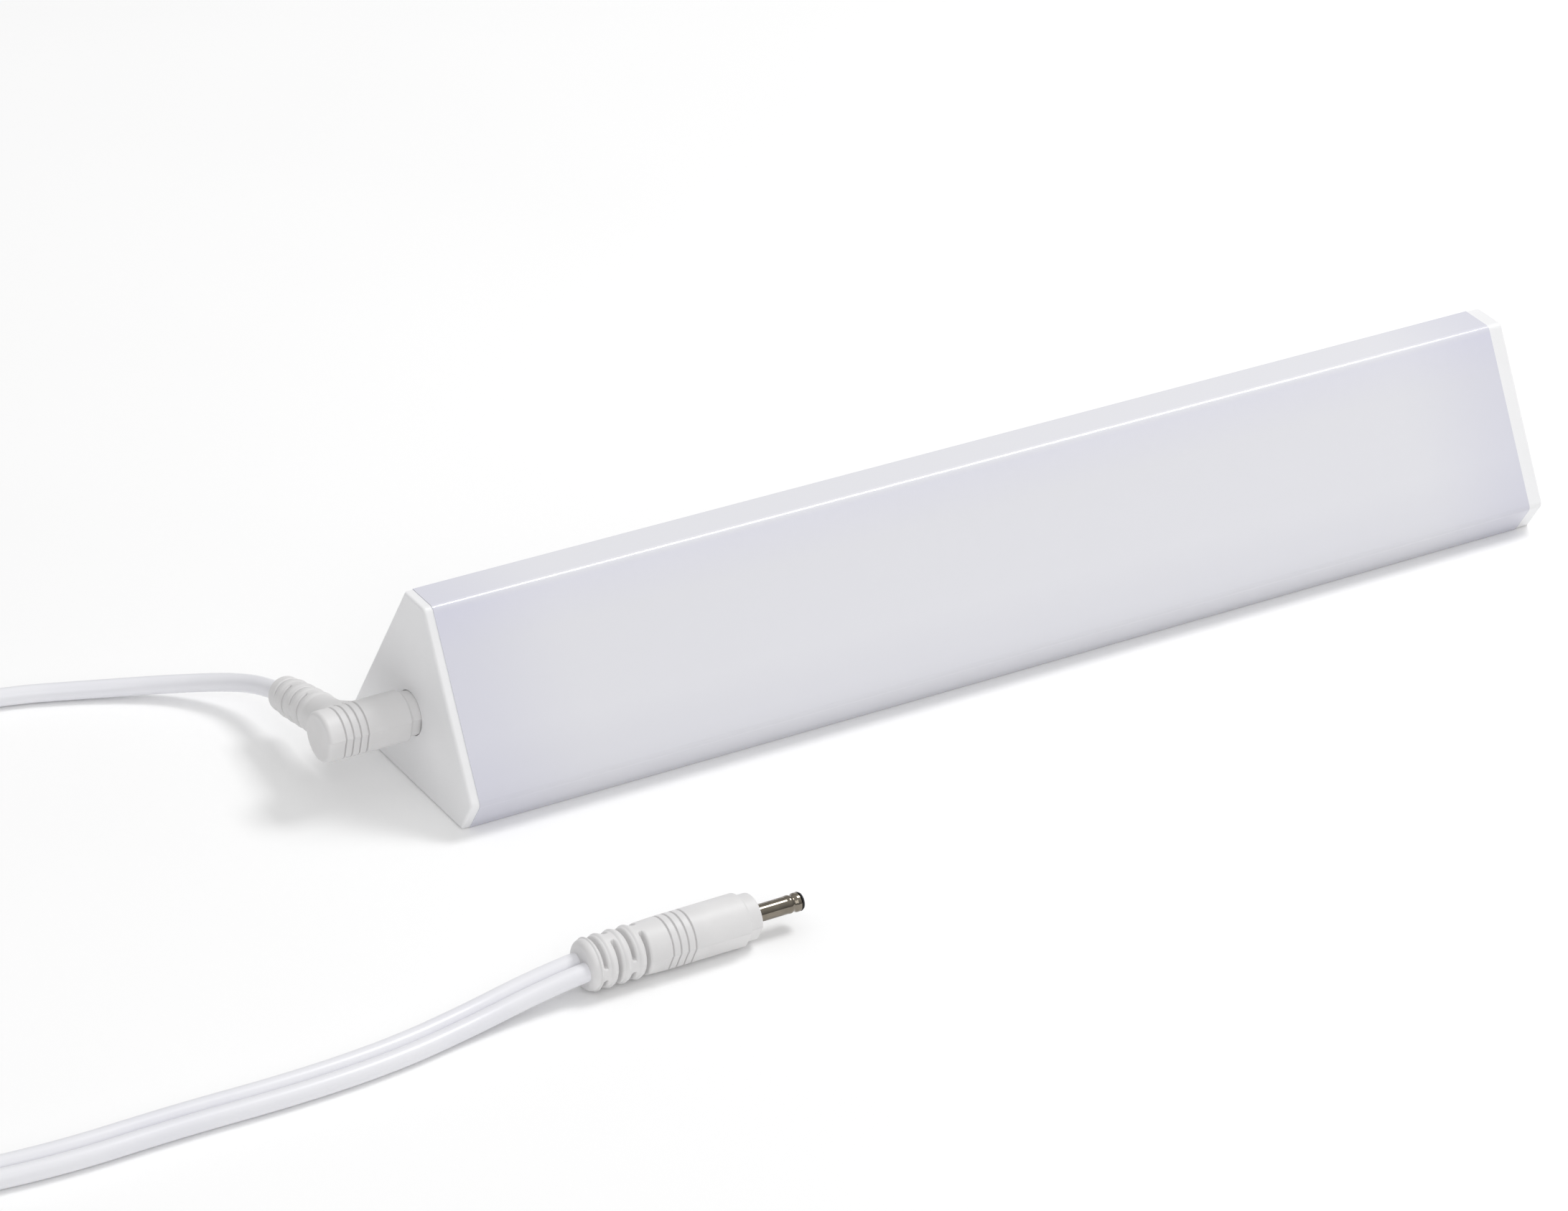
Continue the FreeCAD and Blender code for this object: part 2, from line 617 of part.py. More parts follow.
# Routes of the cords, from one end to the other. The coil's own turns are its closed rings.
droop = math.radians(TAIL_DROOP)
fitted_origin = jack_point(JACK_END + HEAD_COLLAR_INSET)
tail_x = fitted_origin.x - HEAD_COLLAR - HEAD_LENGTH + TAIL_FROM_HEAD_END
tail_tip = fitted_origin + Vector(
    tail_x - fitted_origin.x, TAIL_LENGTH * math.cos(droop), -TAIL_LENGTH * math.sin(droop)
)
straight_origin = Vector(STRAIGHT_PLUG_X, STRAIGHT_PLUG_Y, PLUG_RADIUS + FLOOR_GAP)
relief_x = STRAIGHT_PLUG_X - BODY_COLLAR - BODY_LENGTH
low_coil_line = COIL_BASE + CORD_RADIUS
lead_a_in = [
    tail_tip,
    Vector(-146.6, 38.0, 6.6),
    Vector(-156.0, 48.5, 3.4),
    Vector(-171.0, 56.5, FLOOR_LINE),
    Vector(-190.0, 63.4, FLOOR_LINE),
    Vector(-214.0, 65.5, FLOOR_LINE),
    Vector(-240.0, 60.0, FLOOR_LINE),
    Vector(-263.0, 47.5, FLOOR_LINE),
    Vector(-285.5, 32.2, low_coil_line),
    coil_point(125.0, low_coil_line),
]
lead_a_out = [
    coil_point(184.0, low_coil_line + COIL_TURN),
    Vector(-317.8, -22.0, 3.6),
    Vector(-315.6, -42.0, FLOOR_LINE),
    Vector(-306.5, -60.0, FLOOR_LINE),
    Vector(-292.0, -74.0, FLOOR_LINE),
    Vector(-273.0, -82.8, FLOOR_LINE),
    Vector(-250.0, -85.8, FLOOR_LINE),
    Vector(-226.0, -85.3, FLOOR_LINE),
    Vector(-202.0, -86.2, FLOOR_LINE),
    Vector(-181.0, -85.1, FLOOR_LINE),
    Vector(-164.0, -82.1, 2.2),
    Vector(-150.0, -80.5, 3.9),
    Vector(relief_x, STRAIGHT_PLUG_Y + CORD_SPACING / 2, straight_origin.z),
]
lead_b_out = [
    Vector(relief_x, STRAIGHT_PLUG_Y - CORD_SPACING / 2, straight_origin.z),
    Vector(-150.3, -84.5, 3.9),
    Vector(-164.6, -86.1, 2.2),
    Vector(-181.5, -89.1, FLOOR_LINE),
    Vector(-202.0, -90.2, FLOOR_LINE),
    Vector(-226.0, -89.3, FLOOR_LINE),
    Vector(-250.5, -89.9, FLOOR_LINE),
    Vector(-274.5, -86.7, FLOOR_LINE),
    Vector(-294.5, -77.4, FLOOR_LINE),
    Vector(-310.0, -62.5, FLOOR_LINE),
    Vector(-320.4, -44.5, 2.8),
    Vector(-323.6, -25.0, 8.0),
    coil_point(178.0, low_coil_line + 2 * COIL_TURN + FLOOR_GAP),
]
spare_x = -320.0
spare_tail_y = 46.0
lead_b_tail = [
    coil_point(180.0, low_coil_line + 3 * COIL_TURN),
    Vector(-318.3, 8.0, 12.4),
    Vector(-319.4, 22.0, 8.2),
    Vector(-320.0, 34.0, 5.6),
    Vector(spare_x, spare_tail_y, straight_origin.z),
]

# Pieces of the row, by node name
jack_pin = make_jack_pin()
jack_leaf = make_jack_leaf()
pad_x = SHELF_START + WIRE_PAD_X
nodes = {
    "back_housing": make_back_housing(),
    "diffuser": make_diffuser(),
    "end_cap_jack": make_jack_cap(),
    "end_cap_blank": make_cap(BLANK_END, INSIDE_END),
    "board_tape": make_tape(),
    "led_board": make_board(),
    "led_packages": make_leds(),
    "resistors": make_resistors(),
    "jack_housing": make_jack_housing(jack_pin, jack_leaf),
    "jack_centre_pin": jack_pin,
    "jack_spring_contact": jack_leaf,
    "wire_positive": make_wire(0.0, pad_x, "wire_positive"),
    "wire_negative": make_wire(leaf_across(), pad_x, "wire_negative"),
    "lead_a_in": tube_along(lead_a_in, CORD_RADIUS, "lead_a_in"),
    "lead_a_out": tube_along(lead_a_out, CORD_RADIUS, "lead_a_out"),
    "lead_b_out": tube_along(lead_b_out, CORD_RADIUS, "lead_b_out"),
    "lead_b_tail": tube_along(lead_b_tail, CORD_RADIUS, "lead_b_tail"),
    "coil_a": make_coil(COIL_BASE),
    "coil_b": make_coil(COIL_BASE + COIL_HEIGHT),
    "coil_tie": make_tie(),
}
fitted_place = Placement(fitted_origin, Rotation(Vector(1, 0, 0), -TAIL_DROOP))
nodes.update(place_plug("angle_plug", angled_moulding(), fitted_place))
# The fitted plug swings on its cord, so the cord is trimmed to the end of its tail.
nodes["lead_a_in"] = nodes["lead_a_in"].cut(nodes["angle_plug_moulding"])
straight_place = Placement(straight_origin, Rotation())
nodes.update(place_plug("straight_plug", straight_moulding(), straight_place))
spare_origin = Vector(
    spare_x + HEAD_COLLAR + HEAD_LENGTH - TAIL_FROM_HEAD_END,
    spare_tail_y + TAIL_LENGTH,
    straight_origin.z,
)
spare_place = Placement(spare_origin, Rotation(Vector(1, 0, 0), 180))
nodes.update(place_plug("spare_plug", angled_moulding(), spare_place))

for name, shape in nodes.items():
    solids = shape.Solids
    if not shape.isValid() or not solids:
        raise ValueError(f"{name} is not a valid solid")
    shape.exportStep(f"parts/{name}.step")
    box = shape.BoundBox
    print(
        f"{name}: {len(solids)} solid(s), {shape.Volume:.1f} mm3, "
        f"x {box.XMin:.2f} {box.XMax:.2f}, y {box.YMin:.2f} {box.YMax:.2f}, "
        f"z {box.ZMin:.2f} {box.ZMax:.2f}"
    )
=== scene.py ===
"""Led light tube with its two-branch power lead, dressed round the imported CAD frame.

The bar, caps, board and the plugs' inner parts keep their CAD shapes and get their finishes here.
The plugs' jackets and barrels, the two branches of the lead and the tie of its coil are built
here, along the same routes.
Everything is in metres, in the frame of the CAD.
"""

import logging
import math
from dataclasses import dataclass, field
from enum import Enum
from typing import Any, Sequence

import bmesh
import bpy
from mathutils import Matrix, Vector


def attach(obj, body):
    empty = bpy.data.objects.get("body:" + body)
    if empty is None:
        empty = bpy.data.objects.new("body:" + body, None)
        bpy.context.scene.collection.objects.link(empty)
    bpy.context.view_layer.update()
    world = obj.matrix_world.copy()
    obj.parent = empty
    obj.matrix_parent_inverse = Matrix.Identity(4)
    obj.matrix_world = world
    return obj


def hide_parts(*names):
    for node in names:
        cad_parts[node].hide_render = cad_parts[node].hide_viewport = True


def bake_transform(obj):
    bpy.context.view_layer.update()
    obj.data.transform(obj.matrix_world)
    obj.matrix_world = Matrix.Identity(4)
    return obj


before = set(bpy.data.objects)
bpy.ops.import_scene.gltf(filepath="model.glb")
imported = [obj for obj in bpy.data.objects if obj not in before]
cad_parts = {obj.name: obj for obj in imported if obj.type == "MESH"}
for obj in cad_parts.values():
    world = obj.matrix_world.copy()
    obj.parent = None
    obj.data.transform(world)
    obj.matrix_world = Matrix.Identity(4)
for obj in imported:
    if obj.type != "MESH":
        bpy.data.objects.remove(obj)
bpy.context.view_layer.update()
MM = 0.001
LOG = logging.getLogger("led_light_tube")


class Body(Enum):
    """Bodies of the frame that a piece can ride on."""

    TUBE = "tube"
    LEAD = "power_lead"
    PLUG = "angle_plug"


def linear(code: str) -> tuple[float, float, float, float]:
    """Linear colour with full alpha.

    Args:
        code: sRGB colour as six hex digits after a hash sign.

    Returns:
        Red, green, blue and alpha for a colour socket.
    """
    parts = [int(code[i : i + 2], 16) / 255 for i in (1, 3, 5)]
    parts = [c / 12.92 if c <= 0.04045 else ((c + 0.055) / 1.055) ** 2.4 for c in parts]
    return parts[0], parts[1], parts[2], 1.0


def add_node(
    tree: bpy.types.NodeTree,
    kind: str,
    settings: dict[Any, Any] | None = None,
    links: dict[Any, Any] | None = None,
) -> bpy.types.Node:
    """Adds one node with its settings and links.

    Args:
        tree: node tree that gets the node.
        kind: Blender's name of the node type.
        settings: values by input name, input number or attribute name, in order.
        links: output sockets by input name or number.

    Returns:
        The new node.
    """
    node = tree.nodes.new(kind)
    for key, value in (settings or {}).items():
        if isinstance(key, int) or key in node.inputs:
            node.inputs[key].default_value = value
        else:
            setattr(node, key, value)
    for key, socket in (links or {}).items():
        tree.links.new(socket, node.inputs[key])
    return node


@dataclass(frozen=True)
class Finish:
    """What a piece is made of and how its surface was made.

    Args:
        name: common name of the material and process.
        colour: sRGB hex of most of the surface.
        cloud: sRGB hex of its slightly different patches.
        roughness: middle of the roughness.
        roughness_spread: how far the roughness wanders to each side.
        cloud_mm: size of the patches.
        grain_mm: size of the surface's finest grain.
        relief_mm: height of that grain.
        drawn: stretch of the grain along x, y and z, 1 where it is not drawn out.
        ior: refractive index, for what is not metal.
        metallic: 1 for bare or plated metal.
        coat: weight of a clear skin.
        glow: light that the surface gives off by itself.
    """

    name: str
    colour: str
    cloud: str
    roughness: float
    roughness_spread: float
    cloud_mm: float
    grain_mm: float
    relief_mm: float
    drawn: tuple[float, float, float] = (1.0, 1.0, 1.0)
    ior: float = 1.5
    metallic: float = 0.0
    coat: float = 0.0
    glow: float = 0.0

    def tint(self, tree: bpy.types.NodeTree, place: Any, clouds: Any) -> Any:
        """Colour of the surface.

        Args:
            tree: node tree of the material.
            place: socket with the point's place in metres.
            clouds: socket with the patches, from 0 to 1.

        Returns:
            Socket with the colour.
        """
        mix = add_node(
            tree,
            "ShaderNodeMix",
            {"data_type": "RGBA", 6: linear(self.colour), 7: linear(self.cloud)},
            {0: clouds},
        )
        return mix.outputs[2]

    def material(self) -> bpy.types.Material:
        """Builds the node material, once per finish."""
        made = bpy.data.materials.get(self.name)
        if made is not None:
            return made
        made = bpy.data.materials.new(self.name)
        made.use_nodes = True
        tree = made.node_tree
        tree.nodes.clear()
        place = add_node(tree, "ShaderNodeTexCoord").outputs["Object"]
        stretch = add_node(tree, "ShaderNodeMapping", {"Scale": self.drawn}, {"Vector": place})
        patches = add_node(
            tree,
            "ShaderNodeTexNoise",
            {"Scale": 1 / (self.cloud_mm * MM), "Detail": 3.0, "Roughness": 0.55},
            {"Vector": stretch.outputs[0]},
        )
        clouds = add_node(
            tree,
            "ShaderNodeMapRange",
            {"interpolation_type": "SMOOTHSTEP", "From Min": 0.35, "From Max": 0.65},
            {"Value": patches.outputs[0]},
        ).outputs[0]
        grain = add_node(
            tree,
            "ShaderNodeTexNoise",
            {"Scale": 1 / (self.grain_mm * MM), "Detail": 2.0, "Roughness": 0.6},
            {"Vector": stretch.outputs[0]},
        ).outputs[0]
        rough = add_node(
            tree,
            "ShaderNodeMapRange",
            {
                "To Min": self.roughness - self.roughness_spread,
                "To Max": self.roughness + self.roughness_spread,
            },
            {"Value": grain},
        ).outputs[0]
        bump = add_node(
            tree,
            "ShaderNodeBump",
            {"Strength": 1.0, "Distance": self.relief_mm * MM},
            {"Height": grain},
        )
        settings: dict[Any, Any] = {"Metallic": self.metallic, "Coat Weight": self.coat}
        if not self.metallic:
            settings["IOR"] = self.ior
        if self.glow:
            settings["Emission Color"] = linear("#ffffff")
            settings["Emission Strength"] = self.glow
        shader = add_node(
            tree,
            "ShaderNodeBsdfPrincipled",
            settings,
            {
                "Base Color": self.tint(tree, place, clouds),
                "Roughness": rough,
                "Normal": bump.outputs[0],
            },
        )
        add_node(tree, "ShaderNodeOutputMaterial", None, {"Surface": shader.outputs[0]})
        return made


WHITE_ABS = Finish(
    # Injection-moulded ABS from an eroded tool: a fine, even satin that softens every edge light.
    name="injection_moulded_white_abs",
    colour="#f4f4f5",
    cloud="#f2f2f3",
    roughness=0.42,
    roughness_spread=0.05,
    cloud_mm=14.0,
    grain_mm=0.25,
    relief_mm=0.004,
    ior=1.53,
)
@dataclass(frozen=True)
class OpalFinish(Finish):
    """Milky finish with painted shade: cooler and darker towards the bar's ends and near the
    floor, where less light wanders inside it.

    Args:
        end_shade_colour: sRGB hex of the painted shade at the very ends of the bar.
        end_mm: distance from the bar's middle at which the colour has fully turned.
        fade_mm: length over which it turns.
        height_shade: height above the floor in millimetres and sRGB hex of painted shade that
            multiplies the colour, darkest near the floor and faintly blue under the top edge.
        top_mm: height of the bar.
    """

    # Painted shade: the bar's ends turn darker and bluer, standing in for the dimmer light inside
    # them.
    end_shade_colour: str = "#dcdce6"
    end_mm: float = 132.0
    fade_mm: float = 34.0
    # Painted shade by height: darker near the floor, faintly bluer just under the top edge.
    height_shade: tuple[tuple[float, str], ...] = (
        (0.0, "#f3f3f4"),
        (6.5, "#f4f4f5"),
        (10.0, "#fafafb"),
        (18.0, "#ffffff"),
        (33.0, "#fefefe"),
        (40.2, "#fbfbff"),
        (41.4, "#ffffff"),
    )
    top_mm: float = 41.6

    def tint(self, tree: bpy.types.NodeTree, place: Any, clouds: Any) -> Any:
        """Colour of the surface, with painted shade that darkens it towards the ends and with the
        height.

        Args:
            tree: node tree of the material.
            place: socket with the point's place in metres.
            clouds: socket with the patches, from 0 to 1.

        Returns:
            Socket with the colour.
        """
        body = super().tint(tree, place, clouds)
        axes = add_node(tree, "ShaderNodeSeparateXYZ", None, {0: place})
        along = add_node(
            tree, "ShaderNodeMath", {"operation": "ABSOLUTE"}, {0: axes.outputs[0]}
        ).outputs[0]
        # Mask of the painted shade towards the bar's ends.
        ends = add_node(
            tree,
            "ShaderNodeMapRange",
            {
                "interpolation_type": "SMOOTHSTEP",
                "From Min": (self.end_mm - self.fade_mm) * MM,
                "From Max": self.end_mm * MM,
            },
            {"Value": along},
        ).outputs[0]
        turned = add_node(
            tree,
            "ShaderNodeMix",
            {"data_type": "RGBA", 7: linear(self.end_shade_colour)},
            {0: ends, 6: body},
        ).outputs[2]
        # Painted shade that darkens the bar towards the floor and tints it under the top edge.
        height = add_node(
            tree, "ShaderNodeMapRange", {"From Max": self.top_mm * MM}, {"Value": axes.outputs[2]}
        ).outputs[0]
        ramp = add_node(tree, "ShaderNodeValToRGB", None, {0: height})
        stops = ramp.color_ramp.elements
        stops[1].position = self.height_shade[-1][0] / self.top_mm
        stops[1].color = linear(self.height_shade[-1][1])
        stops[0].color = linear(self.height_shade[0][1])
        for level, code in self.height_shade[1:-1]:
            stops.new(level / self.top_mm).color = linear(code)
        shaded = add_node(
            tree,
            "ShaderNodeMix",
            {"data_type": "RGBA", "blend_type": "MULTIPLY", 0: 1.0},
            {6: turned, 7: ramp.outputs[0]},
        )
        return shaded.outputs[2]


OPAL_PC = OpalFinish(
    # Extruded opal polycarbonate: half gloss over a milky body, with faint lines along its length;
    # its colour carries painted shade at the ends and near the floor.
    name="extruded_opal_polycarbonate",
    colour="#e6e6eb",
    cloud="#e5e5ea",
    roughness=0.14,
    roughness_spread=0.02,
    cloud_mm=30.0,
    grain_mm=0.9,
    relief_mm=0.003,
    drawn=(0.03, 1.0, 1.0),
    ior=1.58,
)
HOUSING_PC = Finish(
    # Extruded white polycarbonate, duller than the cover, with die lines along its length.
    name="extruded_white_polycarbonate",
    colour="#e9e9ea",
    cloud="#e6e6e8",
    roughness=0.38,
    roughness_spread=0.05,
    cloud_mm=40.0,
    grain_mm=0.8,
    relief_mm=0.005,
    drawn=(0.03, 1.0, 1.0),
    ior=1.58,
)
PLUG_PVC = Finish(
    # Overmoulded soft PVC from a blasted tool: pale grey, satin, with a dusty fine grain.
    name="overmoulded_soft_pvc",
    colour="#e3e2e2",
    cloud="#dfdede",
    roughness=0.46,
    roughness_spread=0.06,
    cloud_mm=9.0,
    grain_mm=0.22,
    relief_mm=0.006,
    ior=1.53,
)
CORD_PVC = Finish(
    # Extruded PVC jacket: smoother and glossier than the plugs, a little cooler white.
    name="extruded_soft_pvc",
    colour="#eeeef2",
    cloud="#ebebf0",
    roughness=0.3,
    roughness_spread=0.04,
    cloud_mm=16.0,
    grain_mm=0.5,
    relief_mm=0.004,
    ior=1.53,
)
NICKEL = Finish(
    # Nickel plate over turned brass: slightly warm, with the lathe's faint haze; its colour is
    # darkened to paint in dark reflections.
    name="nickel_plated_turned_brass",
    colour="#8c8579",
    cloud="#827b70",
    roughness=0.11,
    roughness_spread=0.03,
    cloud_mm=3.0,
    grain_mm=0.12,
    relief_mm=0.0003,
    metallic=1.0,
)
BLACK_NYLON = Finish(
    # Moulded glass-filled nylon: dark, with a matt skin that shows fibre clouds.
    name="moulded_black_nylon",
    colour="#19191a",
    cloud="#222224",
    roughness=0.5,
    roughness_spread=0.08,
    cloud_mm=2.0,
    grain_mm=0.15,
    relief_mm=0.004,
    ior=1.53,
)
CORE_PE = Finish(
    # Moulded natural polyethylene: waxy white inner mould under the soft jacket.
    name="moulded_natural_polyethylene",
    colour="#eceae4",
    cloud="#e4e1d8",
    roughness=0.4,
    roughness_spread=0.05,
    cloud_mm=4.0,
    grain_mm=0.3,
    relief_mm=0.004,
    ior=1.51,
)
SOLDER_MASK = Finish(
    # White solder mask printed on an aluminium board: hard, slightly wavy enamel.
    name="screen_printed_white_solder_mask",
    colour="#f2f2ef",
    cloud="#eaeae6",
    roughness=0.3,
    roughness_spread=0.06,
    cloud_mm=5.0,
    grain_mm=0.4,
    relief_mm=0.006,
)
THERMAL_TAPE = Finish(
    # Coated acrylic tape: chalky grey-white with a soft, slightly pebbled face.
    name="coated_thermal_tape",
    colour="#cfcfc8",
    cloud="#c4c4bc",
    roughness=0.7,
    roughness_spread=0.1,
    cloud_mm=6.0,
    grain_mm=0.3,
    relief_mm=0.015,
)
PHOSPHOR = Finish(
    # Phosphor-filled silicone: saturated yellow gel under a clear glossy dome.
    name="dispensed_phosphor_silicone",
    colour="#e8cf52",
    cloud="#dfc043",
    roughness=0.25,
    roughness_spread=0.05,
    cloud_mm=1.0,
    grain_mm=0.08,
    relief_mm=0.003,
    ior=1.41,
    coat=0.4,
)
RESISTOR = Finish(
    # Fired glass glaze over ceramic chips: near black and lightly pitted.
    name="glazed_chip_resistor",
    colour="#161617",
    cloud="#202022",
    roughness=0.35,
    roughness_spread=0.08,
    cloud_mm=0.8,
    grain_mm=0.06,
    relief_mm=0.003,
)
WIRE_RED = Finish(
    # Extruded PVC insulation, coloured red for the positive wire.
    name="extruded_red_pvc",
    colour="#b01c16",
    cloud="#a01812",
    roughness=0.34,
    roughness_spread=0.05,
    cloud_mm=4.0,
    grain_mm=0.2,
    relief_mm=0.004,
    ior=1.53,
)
WIRE_BLACK = Finish(
    # Extruded PVC insulation, black for the negative wire.
    name="extruded_black_pvc",
    colour="#1c1c1d",
    cloud="#242426",
    roughness=0.34,
    roughness_spread=0.05,
    cloud_mm=4.0,
    grain_mm=0.2,
    relief_mm=0.004,
    ior=1.53,
)
TIE_PVC = Finish(
    # PVC-coated wire tie: semi-matt white ribbon with a slight orange peel.
    name="coated_wire_tie",
    colour="#e4e4e2",
    cloud="#dcdcda",
    roughness=0.42,
    roughness_spread=0.06,
    cloud_mm=5.0,
    grain_mm=0.3,
    relief_mm=0.008,
    ior=1.53,
)
STAGE_PAINT = Finish(
    # Rolled matt emulsion on a lit studio table: so bright that only contact shadows stay.
    name="rolled_matt_emulsion",
    colour="#fafafa",
    cloud="#f8f8f8",
    roughness=0.9,
    roughness_spread=0.03,
    cloud_mm=300.0,
    grain_mm=4.0,
    relief_mm=0.02,
    glow=0.05,
)


@dataclass
class Viewpoint:
    """Camera that looks down along the bar from its jack end.

    Args:
        target: point on the floor that the middle of the view falls on.
        distance: metres from the camera to the target.
        heading: degrees of the line of sight from +X towards +Y.
        pitch: degrees that it looks down.
        roll: degrees that the camera leans, its top to its own left.
        lens_mm: focal length on a 36 mm wide sensor.
    """

    target: Vector = field(default_factory=lambda: Vector((-0.0290, 0.0234, 0.0)))
    distance: float = 1.2977
    heading: float = 57.14
    pitch: float = 29.79
    roll: float = 2.48
    lens_mm: float = 143.24

    def build(self) -> bpy.types.Object:
        """Adds the camera and makes it the scene's."""
        heading, pitch, roll = (math.radians(a) for a in (self.heading, self.pitch, self.roll))
        forward = Vector(
            (
                math.cos(pitch) * math.cos(heading),
                math.cos(pitch) * math.sin(heading),
                -math.sin(pitch),
            )
        )
        level = forward.cross(Vector((0, 0, 1))).normalized()
        upright = level.cross(forward)
        right = level * math.cos(roll) + upright * math.sin(roll)
        up = upright * math.cos(roll) - level * math.sin(roll)
        data = bpy.data.cameras.new("viewpoint")
        data.lens = self.lens_mm
        data.sensor_width = 36.0
        data.clip_start = 0.01
        data.clip_end = 50.0
        camera = bpy.data.objects.new("viewpoint", data)
        turn = Matrix((right, up, -forward)).transposed().to_4x4()
        camera.matrix_world = Matrix.Translation(self.target - forward * self.distance) @ turn
        bpy.context.scene.collection.objects.link(camera)
        bpy.context.scene.camera = camera
        return camera


@dataclass(frozen=True)
class Softbox:
    """One square light panel that faces a point near the bar.

    Args:
        name: name of the light.
        place: its middle, in metres.
        size: length of its sides, in metres.
        watts: its power.
        aim: point that it faces.
    """

    name: str
    place: tuple[float, float, float]
    size: float
    watts: float
    aim: tuple[float, float, float] = (0.0, 0.0, 0.02)

    def build(self) -> bpy.types.Object:
        """Adds the light."""
        data = bpy.data.lights.new(self.name, "AREA")
        data.shape = "SQUARE"
        data.size = self.size
        data.energy = self.watts
        light = bpy.data.objects.new(self.name, data)
        light.location = self.place
        toward = Vector(self.aim) - Vector(self.place)
        light.rotation_euler = toward.to_track_quat("-Z", "Y").to_euler()
        bpy.context.scene.collection.objects.link(light)
        return light


@dataclass
class Studio:
    """Pale floor, even surround and soft panels.

    Args:
        half_side: half of the floor's side, in metres.
        drop: how far the floor lies under the object, in metres.
        horizon: brightness of the room's white walls at the floor.
        zenith: brightness of its ceiling.
        boxes: the light panels.
    """

    half_side: float = 6.0
    drop: float = 0.00005
    horizon: float = 0.22
    zenith: float = 0.8
    boxes: tuple[Softbox, ...] = (
        Softbox("overhead_panel", (0.70, -0.05, 1.32), 0.5, 8.6),
        Softbox("camera_side_panel", (-0.5, -1.5, 1.1), 1.2, 6.3),
    )

    def build(self) -> None:
        """Adds floor, surround and lights."""
        mesh = bpy.data.meshes.new("studio_floor")
        s = self.half_side
        corners = [(-s, -s), (s, -s), (s, s), (-s, s)]
        mesh.from_pydata([(x, y, -self.drop) for x, y in corners], [], [(0, 1, 2, 3)])
        floor = bpy.data.objects.new("studio_floor", mesh)
        floor.data.materials.append(STAGE_PAINT.material())
        bpy.context.scene.collection.objects.link(floor)
        world = bpy.data.worlds.new("white_room")
        bpy.context.scene.world = world
        world.use_nodes = True
        tree = world.node_tree
        toward = add_node(tree, "ShaderNodeTexCoord").outputs["Generated"]
        rise = add_node(tree, "ShaderNodeSeparateXYZ", None, {0: toward}).outputs[2]
        strength = add_node(
            tree,
            "ShaderNodeMapRange",
            {"To Min": self.horizon, "To Max": self.zenith},
            {"Value": rise},
        ).outputs[0]
        room = tree.nodes["Background"]
        room.inputs["Color"].default_value = linear("#ffffff")
        tree.links.new(strength, room.inputs["Strength"])
        for box in self.boxes:
            box.build()
        scene = bpy.context.scene
        scene.view_settings.view_transform = "Standard"
        scene.view_settings.look = "None"


def new_piece(name: str, mesh: bpy.types.Mesh, finish: Finish, body: Body) -> bpy.types.Object:
    """Links a mesh as a piece with its finish, and rides it on a body.

    Args:
        name: name of the piece.
        mesh: its mesh, in the frame.
        finish: its finish.
        body: the body that it moves with.

    Returns:
        The piece.
    """
    piece = bpy.data.objects.new(name, mesh)
    mesh.materials.append(finish.material())
    bpy.context.scene.collection.objects.link(piece)
    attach(piece, body.value)
    return piece


def dress(node: str, finish: Finish) -> None:
    """Gives a carried-over CAD node its finish.

    Args:
        node: name of the CAD node.
        finish: its finish.
    """
    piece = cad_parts[node]
    piece.data.materials.clear()
    piece.data.materials.append(finish.material())
    LOG.info("%s: %s", node, finish.name)


def spline_points(name: str, route: Sequence[Vector], steps: int) -> list[Vector]:
    """Points of the smooth NURBS line that a route controls.

    Args:
        name: name for the line while it exists.
        route: control points in metres.
        steps: points between two control points.

    Returns:
        Points along the line, from its start to its end.
    """
    data = bpy.data.curves.new(name, "CURVE")
    data.dimensions = "3D"
    data.resolution_u = steps
    line = data.splines.new("NURBS")
    line.points.add(len(route) - 1)
    for point, place in zip(line.points, route):
        point.co = (*place, 1.0)
    line.order_u = 3
    line.use_endpoint_u = True
    curve = bpy.data.objects.new(name, data)
    bpy.context.scene.collection.objects.link(curve)
    mesh = bpy.data.meshes.new_from_object(curve)
    points = [v.co.copy() for v in mesh.vertices]
    bpy.data.objects.remove(curve)
    bpy.data.curves.remove(data)
    bpy.data.meshes.remove(mesh)
    return points


def tube_mesh(name: str, path: Sequence[Vector], radius: float, sides: int) -> bpy.types.Mesh:
    """Round tube with closed ends that follows a path without twisting.

    Args:
        name: name of the mesh.
        path: points along the middle of the tube.
        radius: radius of the tube.
        sides: flats round it.

    Returns:
        The mesh, shaded smooth.
    """
    bm = bmesh.new()
    count = len(path)
    tangent = (path[1] - path[0]).normalized()
    side = tangent.orthogonal().normalized()
    rings = []
    for i, point in enumerate(path):
        before = path[max(i - 1, 0)]
        after = path[min(i + 1, count - 1)]
        ahead = (after - before).normalized()
        side = tangent.rotation_difference(ahead) @ side
        side = (side - ahead * side.dot(ahead)).normalized()
        tangent = ahead
        other = ahead.cross(side)
        ring = []
        for k in range(sides):
            turn = 2 * math.pi * k / sides
            spoke = side * math.cos(turn) + other * math.sin(turn)
            ring.append(bm.verts.new(point + radius * spoke))
        rings.append(ring)
    for low, high in zip(rings, rings[1:]):
        for k in range(sides):
            after = (k + 1) % sides
            bm.faces.new((low[k], low[after], high[after], high[k]))
    bm.faces.new(list(reversed(rings[0])))
    bm.faces.new(rings[-1])
    for face in bm.faces:
        face.smooth = len(face.verts) == 4
    mesh = bpy.data.meshes.new(name)
    bm.to_mesh(mesh)
    bm.free()
    return mesh


def eased(share: float) -> float:
    """Share from 0 to 1 that starts and ends gently."""
    return share * share * (3 - 2 * share)


